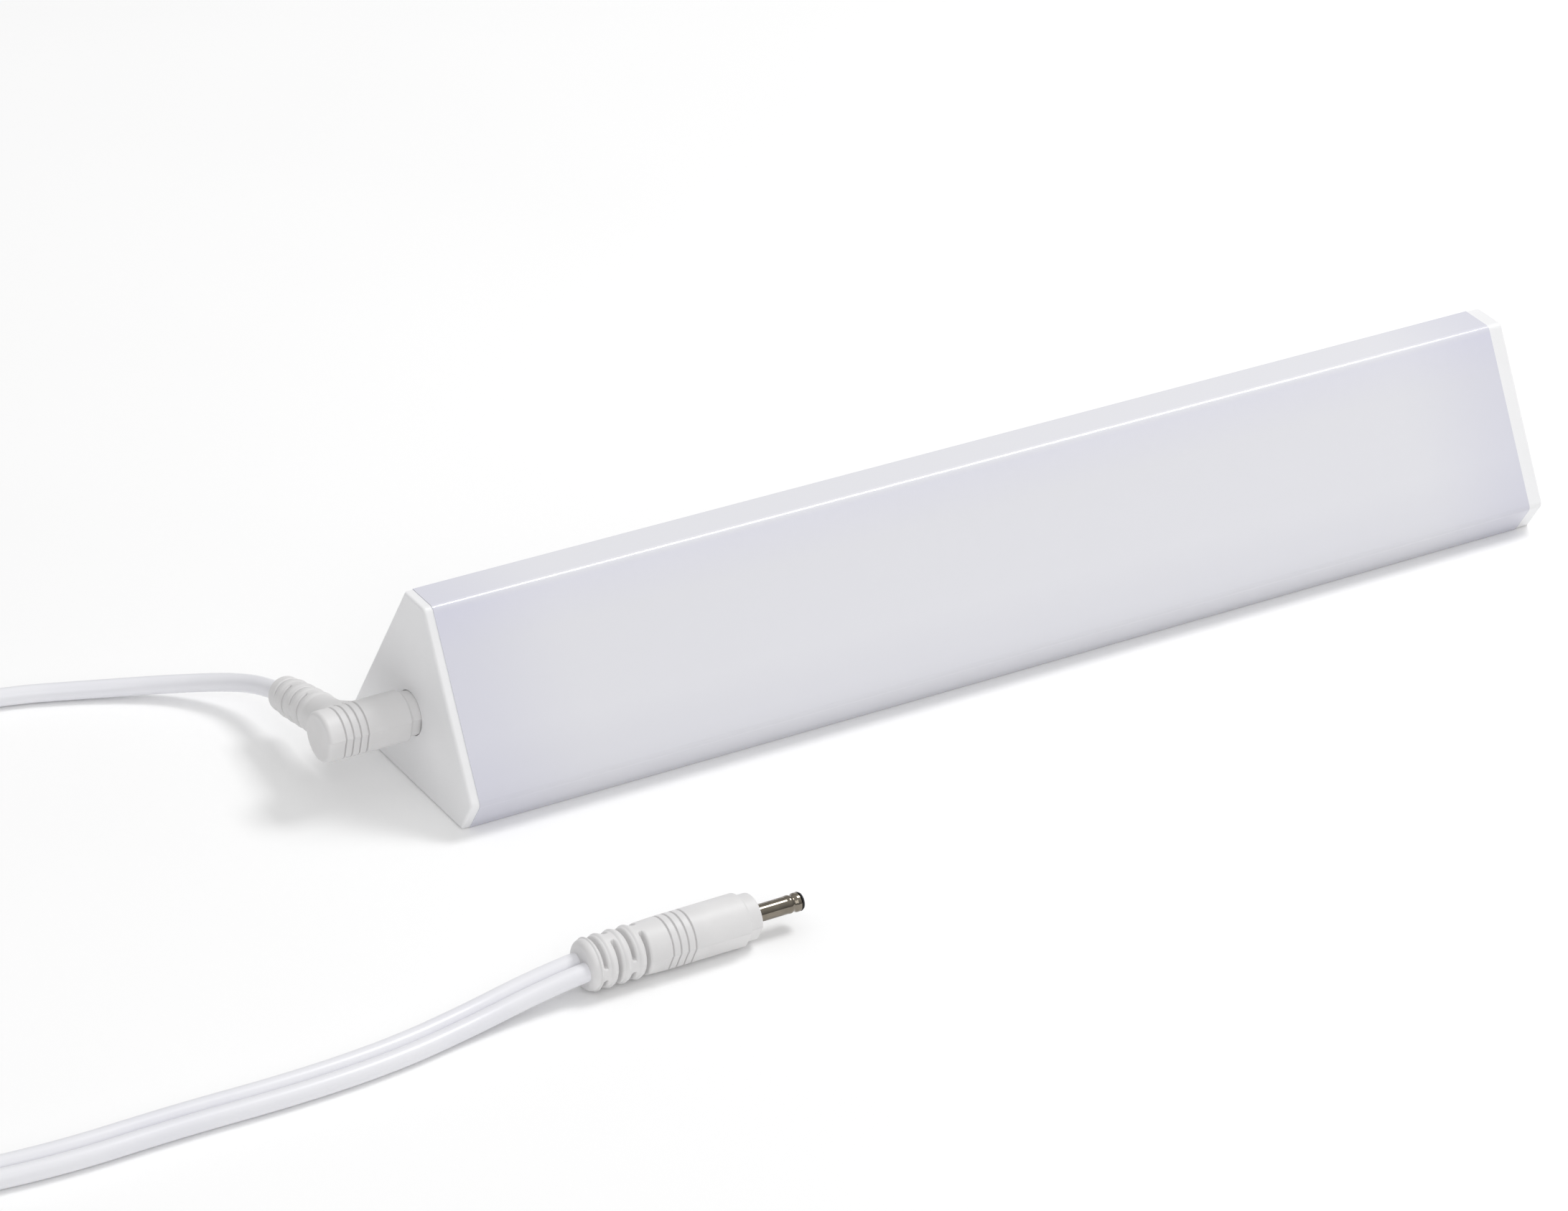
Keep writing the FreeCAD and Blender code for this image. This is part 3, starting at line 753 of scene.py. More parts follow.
@dataclass(frozen=True)
class Ring:
    """One ring of points round a moulding's axis, in millimetres.

    Args:
        x: place along the axis.
        radius: radius before anything is cut.
        cut: depth of the groove or slot here.
        slot: number of the slot that the ring belongs to, or -1 for one that goes all round.
    """

    x: float
    radius: float
    cut: float = 0.0
    slot: int = -1


def level_rings(start: float, end: float, first: float, last: float, pitch: float) -> list[Ring]:
    """Evenly spaced rings along a straight or tapered stretch.

    Args:
        start: place of the first ring.
        end: place that the rings stop short of.
        first: radius at the start.
        last: radius at the end.
        pitch: longest step between two rings.

    Returns:
        The rings, without one at the end.
    """
    count = max(1, math.ceil(abs(end - start) / pitch))
    shares = [i / count for i in range(count)]
    return [Ring(start + (end - start) * s, first + (last - first) * s) for s in shares]


def edge_rings(x: float, radius: float, rounding: float, way: int, steps: int = 7) -> list[Ring]:
    """Rings round the rounded outer edge of an end face.

    Args:
        x: place of the end face.
        radius: radius beside the edge.
        rounding: radius of the edge.
        way: 1 where the solid lies beyond x, -1 where it lies before.
        steps: steps round the edge.

    Returns:
        The rings, in order of rising x.
    """
    rings = []
    for i in range(steps + 1):
        turn = math.pi / 2 * i / steps
        along = rounding * (1 - math.sin(turn))
        rings.append(Ring(x + way * along, radius - rounding * (1 - math.cos(turn))))
    return rings if way < 0 else rings[::-1]


def groove_rings(
    x: float, radius: float, width: float, depth: float, lip: float, slot: int = -1
) -> list[Ring]:
    """Rings across one groove with rounded lips and a rounded floor.

    Args:
        x: middle of the groove.
        radius: radius beside it.
        width: width between its walls.
        depth: its depth.
        lip: radius of its lips.
        slot: number of the slot, or -1.

    Returns:
        The rings, in order of rising x.
    """
    half = width / 2
    low = min(lip, depth * 0.8)
    side = []
    for i in range(5):
        turn = math.pi / 2 * i / 4
        side.append((half + lip * (1 - math.sin(turn)), low * (1 - math.cos(turn))))
    side += [(half * 0.92, low + (depth - low) * 0.7), (half * 0.5, depth * 0.99)]
    left = [Ring(x - away, radius, cut, slot) for away, cut in side]
    right = [Ring(x + away, radius, cut, slot) for away, cut in side[::-1]]
    return left + [Ring(x, radius, depth, slot)] + right


@dataclass
class SoftJacket:
    """Overmoulded PVC jacket round a barrel plug, with what its two kinds share.

    Sizes are in millimetres. The barrel points along +X and the collar's front is at x = 0.

    Args:
        radius: radius of the body.
        collar: radius of the stepped collar.
        mouth: radius that the front face closes to, inside the barrel.
        shoulder: rounding of the step behind the collar.
        front: rounding of the collar's front edge.
        flat: half angle in degrees of the flat that the tool's lower half leaves under its
            parting line.
        flash: height of the fine ridge along the parting line.
        sides: points round the jacket.
        groove_pitch: distance between two decorative grooves.
        groove_count: number of decorative grooves.
        groove_width: width between their walls.
        groove_depth: their depth.
        groove_lip: rounding of their lips.
        belly: how far a ring between two slots swells out.
        bridge: width of the bridges that hold the slotted rings together.
    """

    radius: float = 5.25
    collar: float = 4.55
    mouth: float = 1.4
    shoulder: float = 0.35
    front: float = 0.4
    flat: float = 24.0
    flash: float = 0.07
    sides: int = 144
    groove_pitch: float = 1.65
    groove_count: int = 4
    groove_width: float = 0.32
    groove_depth: float = 0.5
    groove_lip: float = 0.15
    belly: float = 0.25
    bridge: float = 2.4

    def flat_at(self, x: float) -> float:
        """Half angle of the flat at a place along the axis."""
        return self.flat

    def parted(self, ring: Ring, angle: float) -> float:
        """Radius at an angle in degrees from +Y, with the flat under the parting line."""
        flat = self.flat_at(ring.x)
        if abs(angle - 180.0) < 1.0 and ring.radius > self.radius / 2:
            return ring.radius + self.flash
        off = abs((angle - 180.0 - flat + 180) % 360 - 180)
        if off >= flat or ring.radius < self.radius / 2:
            return ring.radius
        return ring.radius * math.cos(math.radians(flat)) / math.cos(math.radians(off))

    def window(self, slot: int, angle: float, radius: float) -> float:
        """How open a slot is at an angle, from 0 on a bridge to 1 between bridges."""
        if slot < 0:
            return 1.0
        centre = 90.0 if slot % 2 == 0 else 0.0
        off = abs((angle - centre + 90) % 180 - 90)
        half = math.degrees(math.asin(self.bridge / 2 / radius))
        return eased(min(1.0, max(0.0, (off - half) / 7.0)))

    def front_rings(self, back: float) -> list[Ring]:
        """Rings of the shoulder, the collar and the front face.

        Args:
            back: place of the step behind the collar, which is below zero.

        Returns:
            The rings, in order of rising x.
        """
        rings = edge_rings(back, self.radius, self.shoulder, -1, 5)
        rings += level_rings(back + 0.04, -self.front - 0.3, self.collar, self.collar, 0.6)
        rings += edge_rings(0.0, self.collar, self.front, -1, 6)
        inner = self.collar - self.front
        return rings + [Ring(0.0, inner - 0.15), Ring(0.0, inner / 2), Ring(0.0, self.mouth)]

    def grooves(self, first: float) -> list[list[Ring]]:
        """Decorative grooves from the middle of the first one towards the barrel."""
        centres = [first + i * self.groove_pitch for i in range(self.groove_count)]
        return [
            groove_rings(x, self.radius, self.groove_width, self.groove_depth, self.groove_lip)
            for x in centres
        ]

    def swollen(self, start: float, end: float, first: float, last: float) -> list[Ring]:
        """Rings of a stretch between two slots, which swells out a little in its middle.

        Args:
            start: place of the first ring.
            end: place that the rings stop short of.
            first: radius at the start.
            last: radius at the end.

        Returns:
            The rings, without one at the end.
        """
        made = []
        for ring in level_rings(start, end, first, last, 0.14):
            share = (ring.x - start) / (end - start)
            made.append(Ring(ring.x, ring.radius + self.belly * math.sin(math.pi * share)))
        return made

    def point(self, ring: Ring, angle: float, open_share: float) -> Vector:
        """Point of a ring at an angle, with the share of its cut that is left open."""
        cut = ring.cut * self.window(ring.slot, angle, ring.radius) * open_share
        radius = self.parted(ring, angle) - cut
        turn = math.radians(angle)
        return Vector((ring.x, radius * math.cos(turn), radius * math.sin(turn)))

    def angles(self, sides: int) -> list[float]:
        """Angles in degrees of the points round a ring."""
        return [360 * k / sides for k in range(sides)]


def skin(bm: bmesh.types.BMesh, loops: Sequence[Sequence[Vector]], closed: bool = False) -> None:
    """Joins loops of points in millimetres with quads, and closes the two ends.

    Args:
        bm: mesh that gets the faces.
        loops: loops of the same number of points, each in order.
        closed: joins the last loop to the first one instead of closing the ends.
    """
    rows = [[bm.verts.new(p * MM) for p in loop] for loop in loops]
    pairs = list(zip(rows, rows[1:])) + ([(rows[-1], rows[0])] if closed else [])
    count = len(rows[0])
    for low, high in pairs:
        for k in range(count):
            after = (k + 1) % count
            bm.faces.new((low[k], high[k], high[after], low[after])).smooth = True
    if not closed:
        bm.faces.new([bm.verts.new(p * MM) for p in loops[0]])
        bm.faces.new([bm.verts.new(p * MM) for p in reversed(loops[-1])])


@dataclass
class StraightJacket(SoftJacket):
    """Straight plug's jacket: collar, grooved body and slotted relief that both cords leave by.

    Args:
        step: length of the collar.
        length: length behind the collar.
        first_groove: middle of the groove nearest the relief.
        relief: length of the slotted relief.
        relief_radius: radius at its end.
        first_slot: middle of the first slot from the relief's start.
        slot_pitch: distance between two slots.
        slot_width: width between a slot's walls.
        slot_depth: depth of a slot.
        slot_lip: rounding of a slot's lips.
        end_round: rounding of the end ring.
    """

    step: float = 2.9
    length: float = 34.5
    first_groove: float = -20.15
    relief: float = 14.5
    relief_radius: float = 5.1
    first_slot: float = 2.5
    slot_pitch: float = 3.05
    slot_width: float = 0.78
    slot_depth: float = 1.9
    slot_lip: float = 0.52
    end_round: float = 1.4

    def flat_at(self, x: float) -> float:
        """Half angle of the flat at a place along the axis, which the round relief hasn't got."""
        start = self.relief - self.step - self.length
        return self.flat * eased(min(1.0, max(0.0, x - start)))

    def rings(self) -> list[Ring]:
        """All rings from the cords' end to the front face."""
        back = -self.step - self.length
        start = back + self.relief
        end_radius = self.relief_radius
        inner = end_radius - self.end_round
        made = [Ring(back, 0.6), Ring(back, inner / 2), Ring(back, inner - 0.2)]
        made += edge_rings(back, end_radius, self.end_round, 1, 8)
        here = back + self.end_round + 0.2
        for index in range(3, -1, -1):
            x = start - self.first_slot - index * self.slot_pitch
            slot = groove_rings(
                x, end_radius, self.slot_width, self.slot_depth, self.slot_lip, index
            )
            made += self.swollen(here, slot[0].x - 0.05, end_radius, end_radius) + slot
            here = slot[-1].x + 0.05
        first = True
        for groove in self.grooves(self.first_groove):
            radius = end_radius if first else self.radius
            made += level_rings(here, groove[0].x - 0.04, radius, self.radius, 0.6) + groove
            here = groove[-1].x + 0.04
            first = False
        made += level_rings(here, -self.step - self.shoulder - 0.1, self.radius, self.radius, 0.6)
        return made + self.front_rings(-self.step)

    def mesh(self, name: str) -> bpy.types.Mesh:
        """Builds the jacket in its own frame."""
        bm = bmesh.new()
        angles = self.angles(self.sides)
        skin(bm, [[self.point(ring, a, 1.0) for a in angles] for ring in self.rings()])
        return finished(bm, name)


def finished(bm: bmesh.types.BMesh, name: str) -> bpy.types.Mesh:
    """Turns a bmesh into a mesh whose faces look outward."""
    bmesh.ops.recalc_face_normals(bm, faces=bm.faces)
    mesh = bpy.data.meshes.new(name)
    bm.to_mesh(mesh)
    bm.free()
    return mesh


@dataclass
class AngledJacket(SoftJacket):
    """Angled plug's jacket: head on the barrel's axis and a slotted tail square to it, along +Y.

    Args:
        step: length of the collar.
        length: length of the head behind the collar.
        end_round: rounding of the head's free end.
        first_groove: middle of the groove nearest the free end.
        tail_x: place of the tail's axis.
        tail_length: length of the tail from the head's axis.
        tail_root: radius of the tail at the head's axis.
        tail_end: radius at its end.
        tail_round: rounding of its end ring.
        tail_sides: points round the tail.
        web: how far from each other the head's and the tail's surfaces start to flow together.
        clear_of_web: place along the tail where its rings are level again.
        first_slot: middle of the tail's first slot from the head's axis.
        slot_pitch: distance between two slots.
        slot_width: width between a slot's walls.
        slot_depth: depth of a slot.
        slot_lip: rounding of a slot's lips.
    """

    step: float = 3.6
    length: float = 18.3
    end_round: float = 0.9
    first_groove: float = -18.225
    tail_x: float = -15.2
    tail_length: float = 27.8
    tail_root: float = 4.4
    tail_end: float = 3.75
    tail_round: float = 1.0
    tail_sides: int = 128
    web: float = 3.2
    clear_of_web: float = 11.5
    first_slot: float = 14.5
    slot_pitch: float = 3.4
    slot_width: float = 0.42
    slot_depth: float = 1.0
    slot_lip: float = 0.36
    bridge: float = 2.2

    def tail_radius(self, y: float) -> float:
        """Radius of the tail at a distance from the head's axis."""
        return self.tail_root + (self.tail_end - self.tail_root) * y / self.tail_length

    def from_tail(self, p: Vector) -> float:
        """Distance of a point from the tail's surface, below zero inside it."""
        across = math.hypot(p.x - self.tail_x, p.z)
        return across - self.tail_radius(max(p.y, 0.0)) + 2 * max(0.0, -p.y)

    def webbed(self, p: Vector, radius: float) -> Vector:
        """Moves a point of one surface onto the smooth web between head and tail.

        Args:
            p: point on the head or on the tail.
            radius: radius of the head there.

        Returns:
            The point on the blended surface.
        """
        p = p.copy()
        web = self.web * eased(min(1.0, max(0.01, p.y / self.radius)))
        for _ in range(4):
            to_tail = self.from_tail(p)
            to_head = math.hypot(p.y, p.z) - radius
            near = max(0.0, web - abs(to_tail - to_head))
            if not near:
                return p
            share = min(1.0, max(0.0, 0.5 + (to_head - to_tail) / (2 * web)))
            field_value = min(to_tail, to_head) - near * near / (4 * web)
            off = Vector((p.x - self.tail_x, 0, p.z)).normalized()
            out = Vector((0, p.y, p.z)).normalized()
            slope = off * share + out * (1 - share)
            p -= slope * (field_value / slope.length_squared)
        return p

    def head_rings(self) -> list[Ring]:
        """Rings from the free end to the front face."""
        end = -self.step - self.length
        inner = self.radius - self.end_round
        made = [Ring(end, 0.6), Ring(end, inner / 2), Ring(end, inner - 0.2)]
        made += edge_rings(end, self.radius, self.end_round, 1, 8)
        here = end + self.end_round + 0.1
        for groove in self.grooves(self.first_groove):
            made += level_rings(here, groove[0].x - 0.04, self.radius, self.radius, 0.35) + groove
            here = groove[-1].x + 0.04
        stop = -self.step - self.shoulder - 0.1
        made += level_rings(here, stop, self.radius, self.radius, 0.35)
        return made + self.front_rings(-self.step)

    def head_point(self, ring: Ring, angle: float) -> Vector:
        """Point of the head, lifted onto the web where the tail is near."""
        bare = self.point(Ring(ring.x, ring.radius), angle, 0.0)
        away = self.from_tail(bare)
        left = eased(min(1.0, max(0.0, (away - 0.1) / 0.7)))
        p = self.point(ring, angle, left)
        if away < -0.3 or away > self.web or ring.radius < self.radius - self.end_round:
            return p
        return self.webbed(p, math.hypot(p.y, p.z))

    def tail_loops(self) -> list[list[Vector]]:
        """Loops of points round the tail, from where it leaves the head to its end."""
        loops = []
        angles = self.angles(self.tail_sides)
        rows = 26
        for i in range(rows):
            share = i / rows
            loop = []
            for angle in angles:
                turn = math.radians(angle)
                z = self.tail_radius(4.0) * math.sin(turn)
                start = math.sqrt(max(0.0, self.radius**2 - z * z))
                y = start + (self.clear_of_web - start) * share**1.4
                r = self.tail_radius(y)
                p = Vector((self.tail_x + r * math.cos(turn), y, r * math.sin(turn)))
                loop.append(self.webbed(p, self.radius))
            loops.append(loop)
        for ring in self.tail_rings():
            loop = []
            for angle in angles:
                turn = math.radians(angle)
                r = ring.radius - ring.cut * self.window(ring.slot, angle, ring.radius)
                loop.append(
                    Vector((self.tail_x + r * math.cos(turn), ring.x, r * math.sin(turn)))
                )
            loops.append(loop)
        return loops

    def tail_rings(self) -> list[Ring]:
        """Rings of the tail beyond the web, with x as the distance from the head's axis."""
        made = []
        here = self.clear_of_web
        for index in range(4):
            x = self.first_slot + index * self.slot_pitch
            r = self.tail_radius(x)
            slot = groove_rings(x, r, self.slot_width, self.slot_depth, self.slot_lip, index)
            made += self.swollen(here, slot[0].x - 0.05, self.tail_radius(here), r) + slot
            here = slot[-1].x + 0.05
        stop = self.tail_length - self.tail_round
        made += level_rings(here, stop - 0.1, self.tail_radius(here), self.tail_end, 0.4)
        made += edge_rings(self.tail_length, self.tail_end, self.tail_round, -1, 8)
        inner = self.tail_end - self.tail_round
        return made + [Ring(self.tail_length, inner - 0.15), Ring(self.tail_length, 0.8)]

    def mesh(self, name: str) -> bpy.types.Mesh:
        """Builds head and tail in the plug's own frame."""
        bm = bmesh.new()
        angles = self.angles(self.sides)
        skin(bm, [[self.head_point(ring, a) for a in angles] for ring in self.head_rings()])
        skin(bm, self.tail_loops())
        return finished(bm, name)


@dataclass
class BarrelShell:
    """Bare nickel-plated barrel, in millimetres from the collar's front.

    Args:
        root: where it starts, inside the plug.
        tip: where the metal ends.
        radius: radius of the shaft.
        bead: radius of the rolled bead at the tip.
        neck: radius of the rolled neck behind the bead.
        bore: radius of the hole that the insulator fills.
        sides: points round it.
    """

    root: float = -6.0
    tip: float = 10.5
    radius: float = 1.75
    bead: float = 1.9
    neck: float = 1.64
    bore: float = 1.3
    sides: int = 64

    def mesh(self, name: str) -> bpy.types.Mesh:
        """Builds the barrel along +X."""
        swell = (self.radius + self.bead) / 2
        stations = [
            (self.root, self.radius),
            (-0.1, self.radius),
            (self.tip - 3.2, self.radius),
            (self.tip - 2.3, swell),
            (self.tip - 1.6, self.neck),
            (self.tip - 0.9, self.bead),
            (self.tip - 0.3, self.bead),
            (self.tip, self.bead - 0.28),
        ]
        profile = [stations[0]]
        for (x0, r0), (x1, r1) in zip(stations, stations[1:]):
            steps = 8 if abs(x1 - x0) < 2 else 2
            for i in range(1, steps + 1):
                share = i / steps
                profile.append((x0 + (x1 - x0) * share, r0 + (r1 - r0) * eased(share)))
        profile += [(self.tip, self.bore), (self.root, self.bore)]
        loops = []
        for x, r in profile:
            turns = [2 * math.pi * k / self.sides for k in range(self.sides)]
            loops.append([Vector((x, r * math.cos(t), r * math.sin(t))) for t in turns])
        bm = bmesh.new()
        skin(bm, loops, closed=True)
        mesh = finished(bm, name)
        mark_sharp(mesh, 40.0)
        return mesh


def mark_sharp(mesh: bpy.types.Mesh, degrees: float) -> None:
    """Keeps edges crisp where two faces turn by more than an angle."""
    bm = bmesh.new()
    bm.from_mesh(mesh)
    for edge in bm.edges:
        if len(edge.link_faces) == 2 and edge.calc_face_angle() > math.radians(degrees):
            edge.smooth = False
    bm.to_mesh(mesh)
    bm.free()


@dataclass
class Plugs:
    """Three DC plugs on the lead: fitted and spare ones with angled jackets, and a straight one.

    Args:
        fitted: collar front of the plug in the jack, in metres.
        droop: degrees that the fitted plug's tail hangs down.
        straight: collar front of the straight plug.
        spare: collar front of the spare plug, which lies the other way up.
    """

    fitted: Vector = field(default_factory=lambda: Vector((-0.1296, -0.0012204, 0.0156487)))
    droop: float = 12.2
    straight: Vector = field(default_factory=lambda: Vector((-0.1016, -0.0823, 0.00535)))
    spare: Vector = field(default_factory=lambda: Vector((-0.3048, 0.0745, 0.00535)))

    def places(self) -> dict[str, tuple[Matrix, Body, SoftJacket]]:
        """Place, body and jacket of each plug by the start of its nodes' names."""
        return {
            "angle_plug": (
                Matrix.Translation(self.fitted)
                @ Matrix.Rotation(-math.radians(self.droop), 4, "X"),
                Body.PLUG,
                AngledJacket(),
            ),
            "straight_plug": (Matrix.Translation(self.straight), Body.LEAD, StraightJacket()),
            "spare_plug": (
                Matrix.Translation(self.spare) @ Matrix.Rotation(math.pi, 4, "X"),
                Body.LEAD,
                AngledJacket(),
            ),
        }

    def build(self) -> None:
        """Builds each plug's jacket and barrel in place of the CAD ones."""
        for plug, (place, body, jacket) in self.places().items():
            parts = [
                ("jacket", "moulding", jacket, PLUG_PVC),
                ("shell", "barrel", BarrelShell(), NICKEL),
            ]
            for piece_name, node, maker, finish in parts:
                name = f"{plug}_{piece_name}"
                mesh = maker.mesh(name)
                mesh.transform(place)
                piece = new_piece(name, mesh, finish, body)
                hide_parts(f"{plug}_{node}")
                LOG.info("%s: %s, %d faces", name, finish.name, len(mesh.polygons))


@dataclass
class Coil:
    """Neat round coil in which the two branches of the lead are put away.

    Args:
        x: middle of the coil.
        y: middle of the coil.
        columns: radii of the middle lines of its turns, from the outside in.
        points: control points in one turn.
        shift: degrees of each turn in which the cord moves over to the next one.
        bulge: how far the innermost turn leans in while it climbs.
    """

    x: float = -0.292
    y: float = -0.006
    columns: tuple[float, float, float] = (0.0258, 0.0220, 0.0182)
    points: int = 20
    shift: float = 90.0
    bulge: float = 0.0014

    def point(self, angle: float, radius: float, height: float) -> Vector:
        """Point of the coil at an angle in degrees from +X, a radius and a height."""
        turn = math.radians(angle)
        return Vector((self.x + radius * math.cos(turn), self.y + radius * math.sin(turn), height))

    def turns(
        self, start: float, way: int, slots: Sequence[tuple[float, float]], travel: float
    ) -> list[Vector]:
        """Control points of wound turns.

        Args:
            start: angle in degrees at which the winding starts.
            way: 1 for counter-clockwise from above, -1 for clockwise.
            slots: radius and height of each turn in the order that the cord takes them.
            travel: degrees that it goes round.

        Returns:
            The points. They stand out a little, because the line runs inside its points.
        """
        out = 1 / math.cos(math.pi / self.points)
        step = 360 / self.points
        route = []
        for i in range(int(travel / step) + 1):
            turn, angle = divmod(i * step, 360)
            here = slots[min(int(turn), len(slots) - 1)]
            there = slots[min(int(turn) + 1, len(slots) - 1)]
            share = eased(max(0.0, angle - (360 - self.shift)) / self.shift)
            radius = here[0] + (there[0] - here[0]) * share
            if here[0] == there[0]:
                radius -= self.bulge * math.sin(math.pi * share)
            height = here[1] + (there[1] - here[1]) * share
            route.append(self.point(start + way * i * step, radius * out, height))
        return route


@dataclass
class CoilTie:
    """Coated wire tie round the coil, with its two ends twisted together outside.

    Sizes are in millimetres across the coil's section: u runs outward from the coil's middle.

    Args:
        angle: degrees from +X at which it crosses the coil.
        inner: u of the loop's inner side.
        outer: u of its outer side.
        low: height of its lower side's middle.
        high: height of its upper side's middle.
        width: width of the ribbon.
        thickness: thickness of the ribbon.
        twist: how far the twisted ends reach out.
        turns: turns of the twist.
        sides: points round the ribbon.
    """

    angle: float = -45.0
    inner: float = 15.9
    outer: float = 28.1
    low: float = 0.32
    high: float = 16.2
    width: float = 3.8
    thickness: float = 0.5
    twist: float = 5.6
    turns: float = 1.5
    sides: int = 20

    def strand(self, phase: float) -> list[tuple[float, float, float]]:
        """Control points of one twisted end from the loop outward, as u, v and height."""
        middle = (self.low + self.high) / 2
        points = []
        for i in range(13):
            share = i / 12
            turn = math.radians(phase + 360 * self.turns * share)
            points.append(
                (
                    self.outer + 0.9 + self.twist * share,
                    0.42 * math.cos(turn),
                    middle + 0.42 * math.sin(turn),
                )
            )
        return points

    def route(self) -> list[tuple[float, float, float]]:
        """Control points of the whole tie, from one end round the loop to the other."""
        middle = (self.low + self.high) / 2
        span = self.outer - self.inner
        loop = [
            (self.outer + 0.1, 0.0, middle + 1.2),
            (self.outer, 0.0, middle + 2.6),
            (self.outer, 0.0, self.high - 1.4),
            (self.outer - 0.2, 0.0, self.high),
            (self.outer - 2.0, 0.0, self.high),
            (self.inner + span / 2, 0.0, self.high + 0.05),
            (self.inner + 2.0, 0.0, self.high),
            (self.inner + 0.1, 0.0, self.high - 0.2),
            (self.inner, 0.0, self.high - 2.2),
            (self.inner - 0.1, 0.0, middle),
            (self.inner, 0.0, self.low + 2.2),
            (self.inner + 0.1, 0.0, self.low),
            (self.inner + 2.0, 0.0, self.low),
            (self.outer - 2.0, 0.0, self.low),
            (self.outer - 0.2, 0.0, self.low),
            (self.outer, 0.0, self.low + 1.4),
            (self.outer, 0.0, middle - 2.6),
            (self.outer + 0.1, 0.0, middle - 1.2),
        ]
        return self.strand(90.0)[::-1] + loop + self.strand(270.0)

    def build(self, coil: Coil) -> bpy.types.Object:
        """Builds the tie in place of its CAD solid.

        Args:
            coil: the coil that it holds.

        Returns:
            The piece.
        """
        turn = math.radians(self.angle)
        out = Vector((math.cos(turn), math.sin(turn), 0.0))
        along = Vector((-out.y, out.x, 0.0))
        centre = Vector((coil.x, coil.y, 0.0))
        up = Vector((0.0, 0.0, 1.0))
        places = [centre + (out * u + along * v + up * w) * MM for u, v, w in self.route()]
        path = spline_points("coil_wire_tie_line", places, 6)
        bm = bmesh.new()
        middle = (self.low + self.high) / 2 * MM
        rings = []
        for i, point in enumerate(path):
            ahead = (path[min(i + 1, len(path) - 1)] - path[max(i - 1, 0)]).normalized()
            reach = ((point - centre).dot(out) - (self.outer + 0.5) * MM) / (self.twist * MM)
            twisted = min(1.0, max(0.0, reach * 6))
            off = Vector(((point - centre).dot(along), point.z - middle))
            spin = along if twisted <= 0 else (along * off.y - up * off.x).normalized()
            side = along.lerp(spin, twisted)
            side = (side - ahead * side.dot(ahead)).normalized()
            other = ahead.cross(side)
            half = self.width / 2 * (1 - 0.55 * twisted) * MM
            thick = self.thickness / 2 * (1 + 0.5 * twisted) * MM
            ring = []
            for k in range(self.sides):
                t = 2 * math.pi * k / self.sides
                across = math.copysign(abs(math.cos(t)) ** 0.5, math.cos(t)) * half
                rise = math.copysign(abs(math.sin(t)) ** 0.8, math.sin(t)) * thick
                ring.append(bm.verts.new(point + side * across + other * rise))
            rings.append(ring)
        for low, high in zip(rings, rings[1:]):
            for k in range(self.sides):
                after = (k + 1) % self.sides
                bm.faces.new((low[k], low[after], high[after], high[k])).smooth = True
        bm.faces.new(list(reversed(rings[0])))
        bm.faces.new(rings[-1])
        piece = new_piece("coil_wire_tie", finished(bm, "coil_wire_tie"), TIE_PVC, Body.LEAD)
        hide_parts("coil_tie")
        LOG.info("coil_wire_tie: %s", TIE_PVC.name)
        return piece


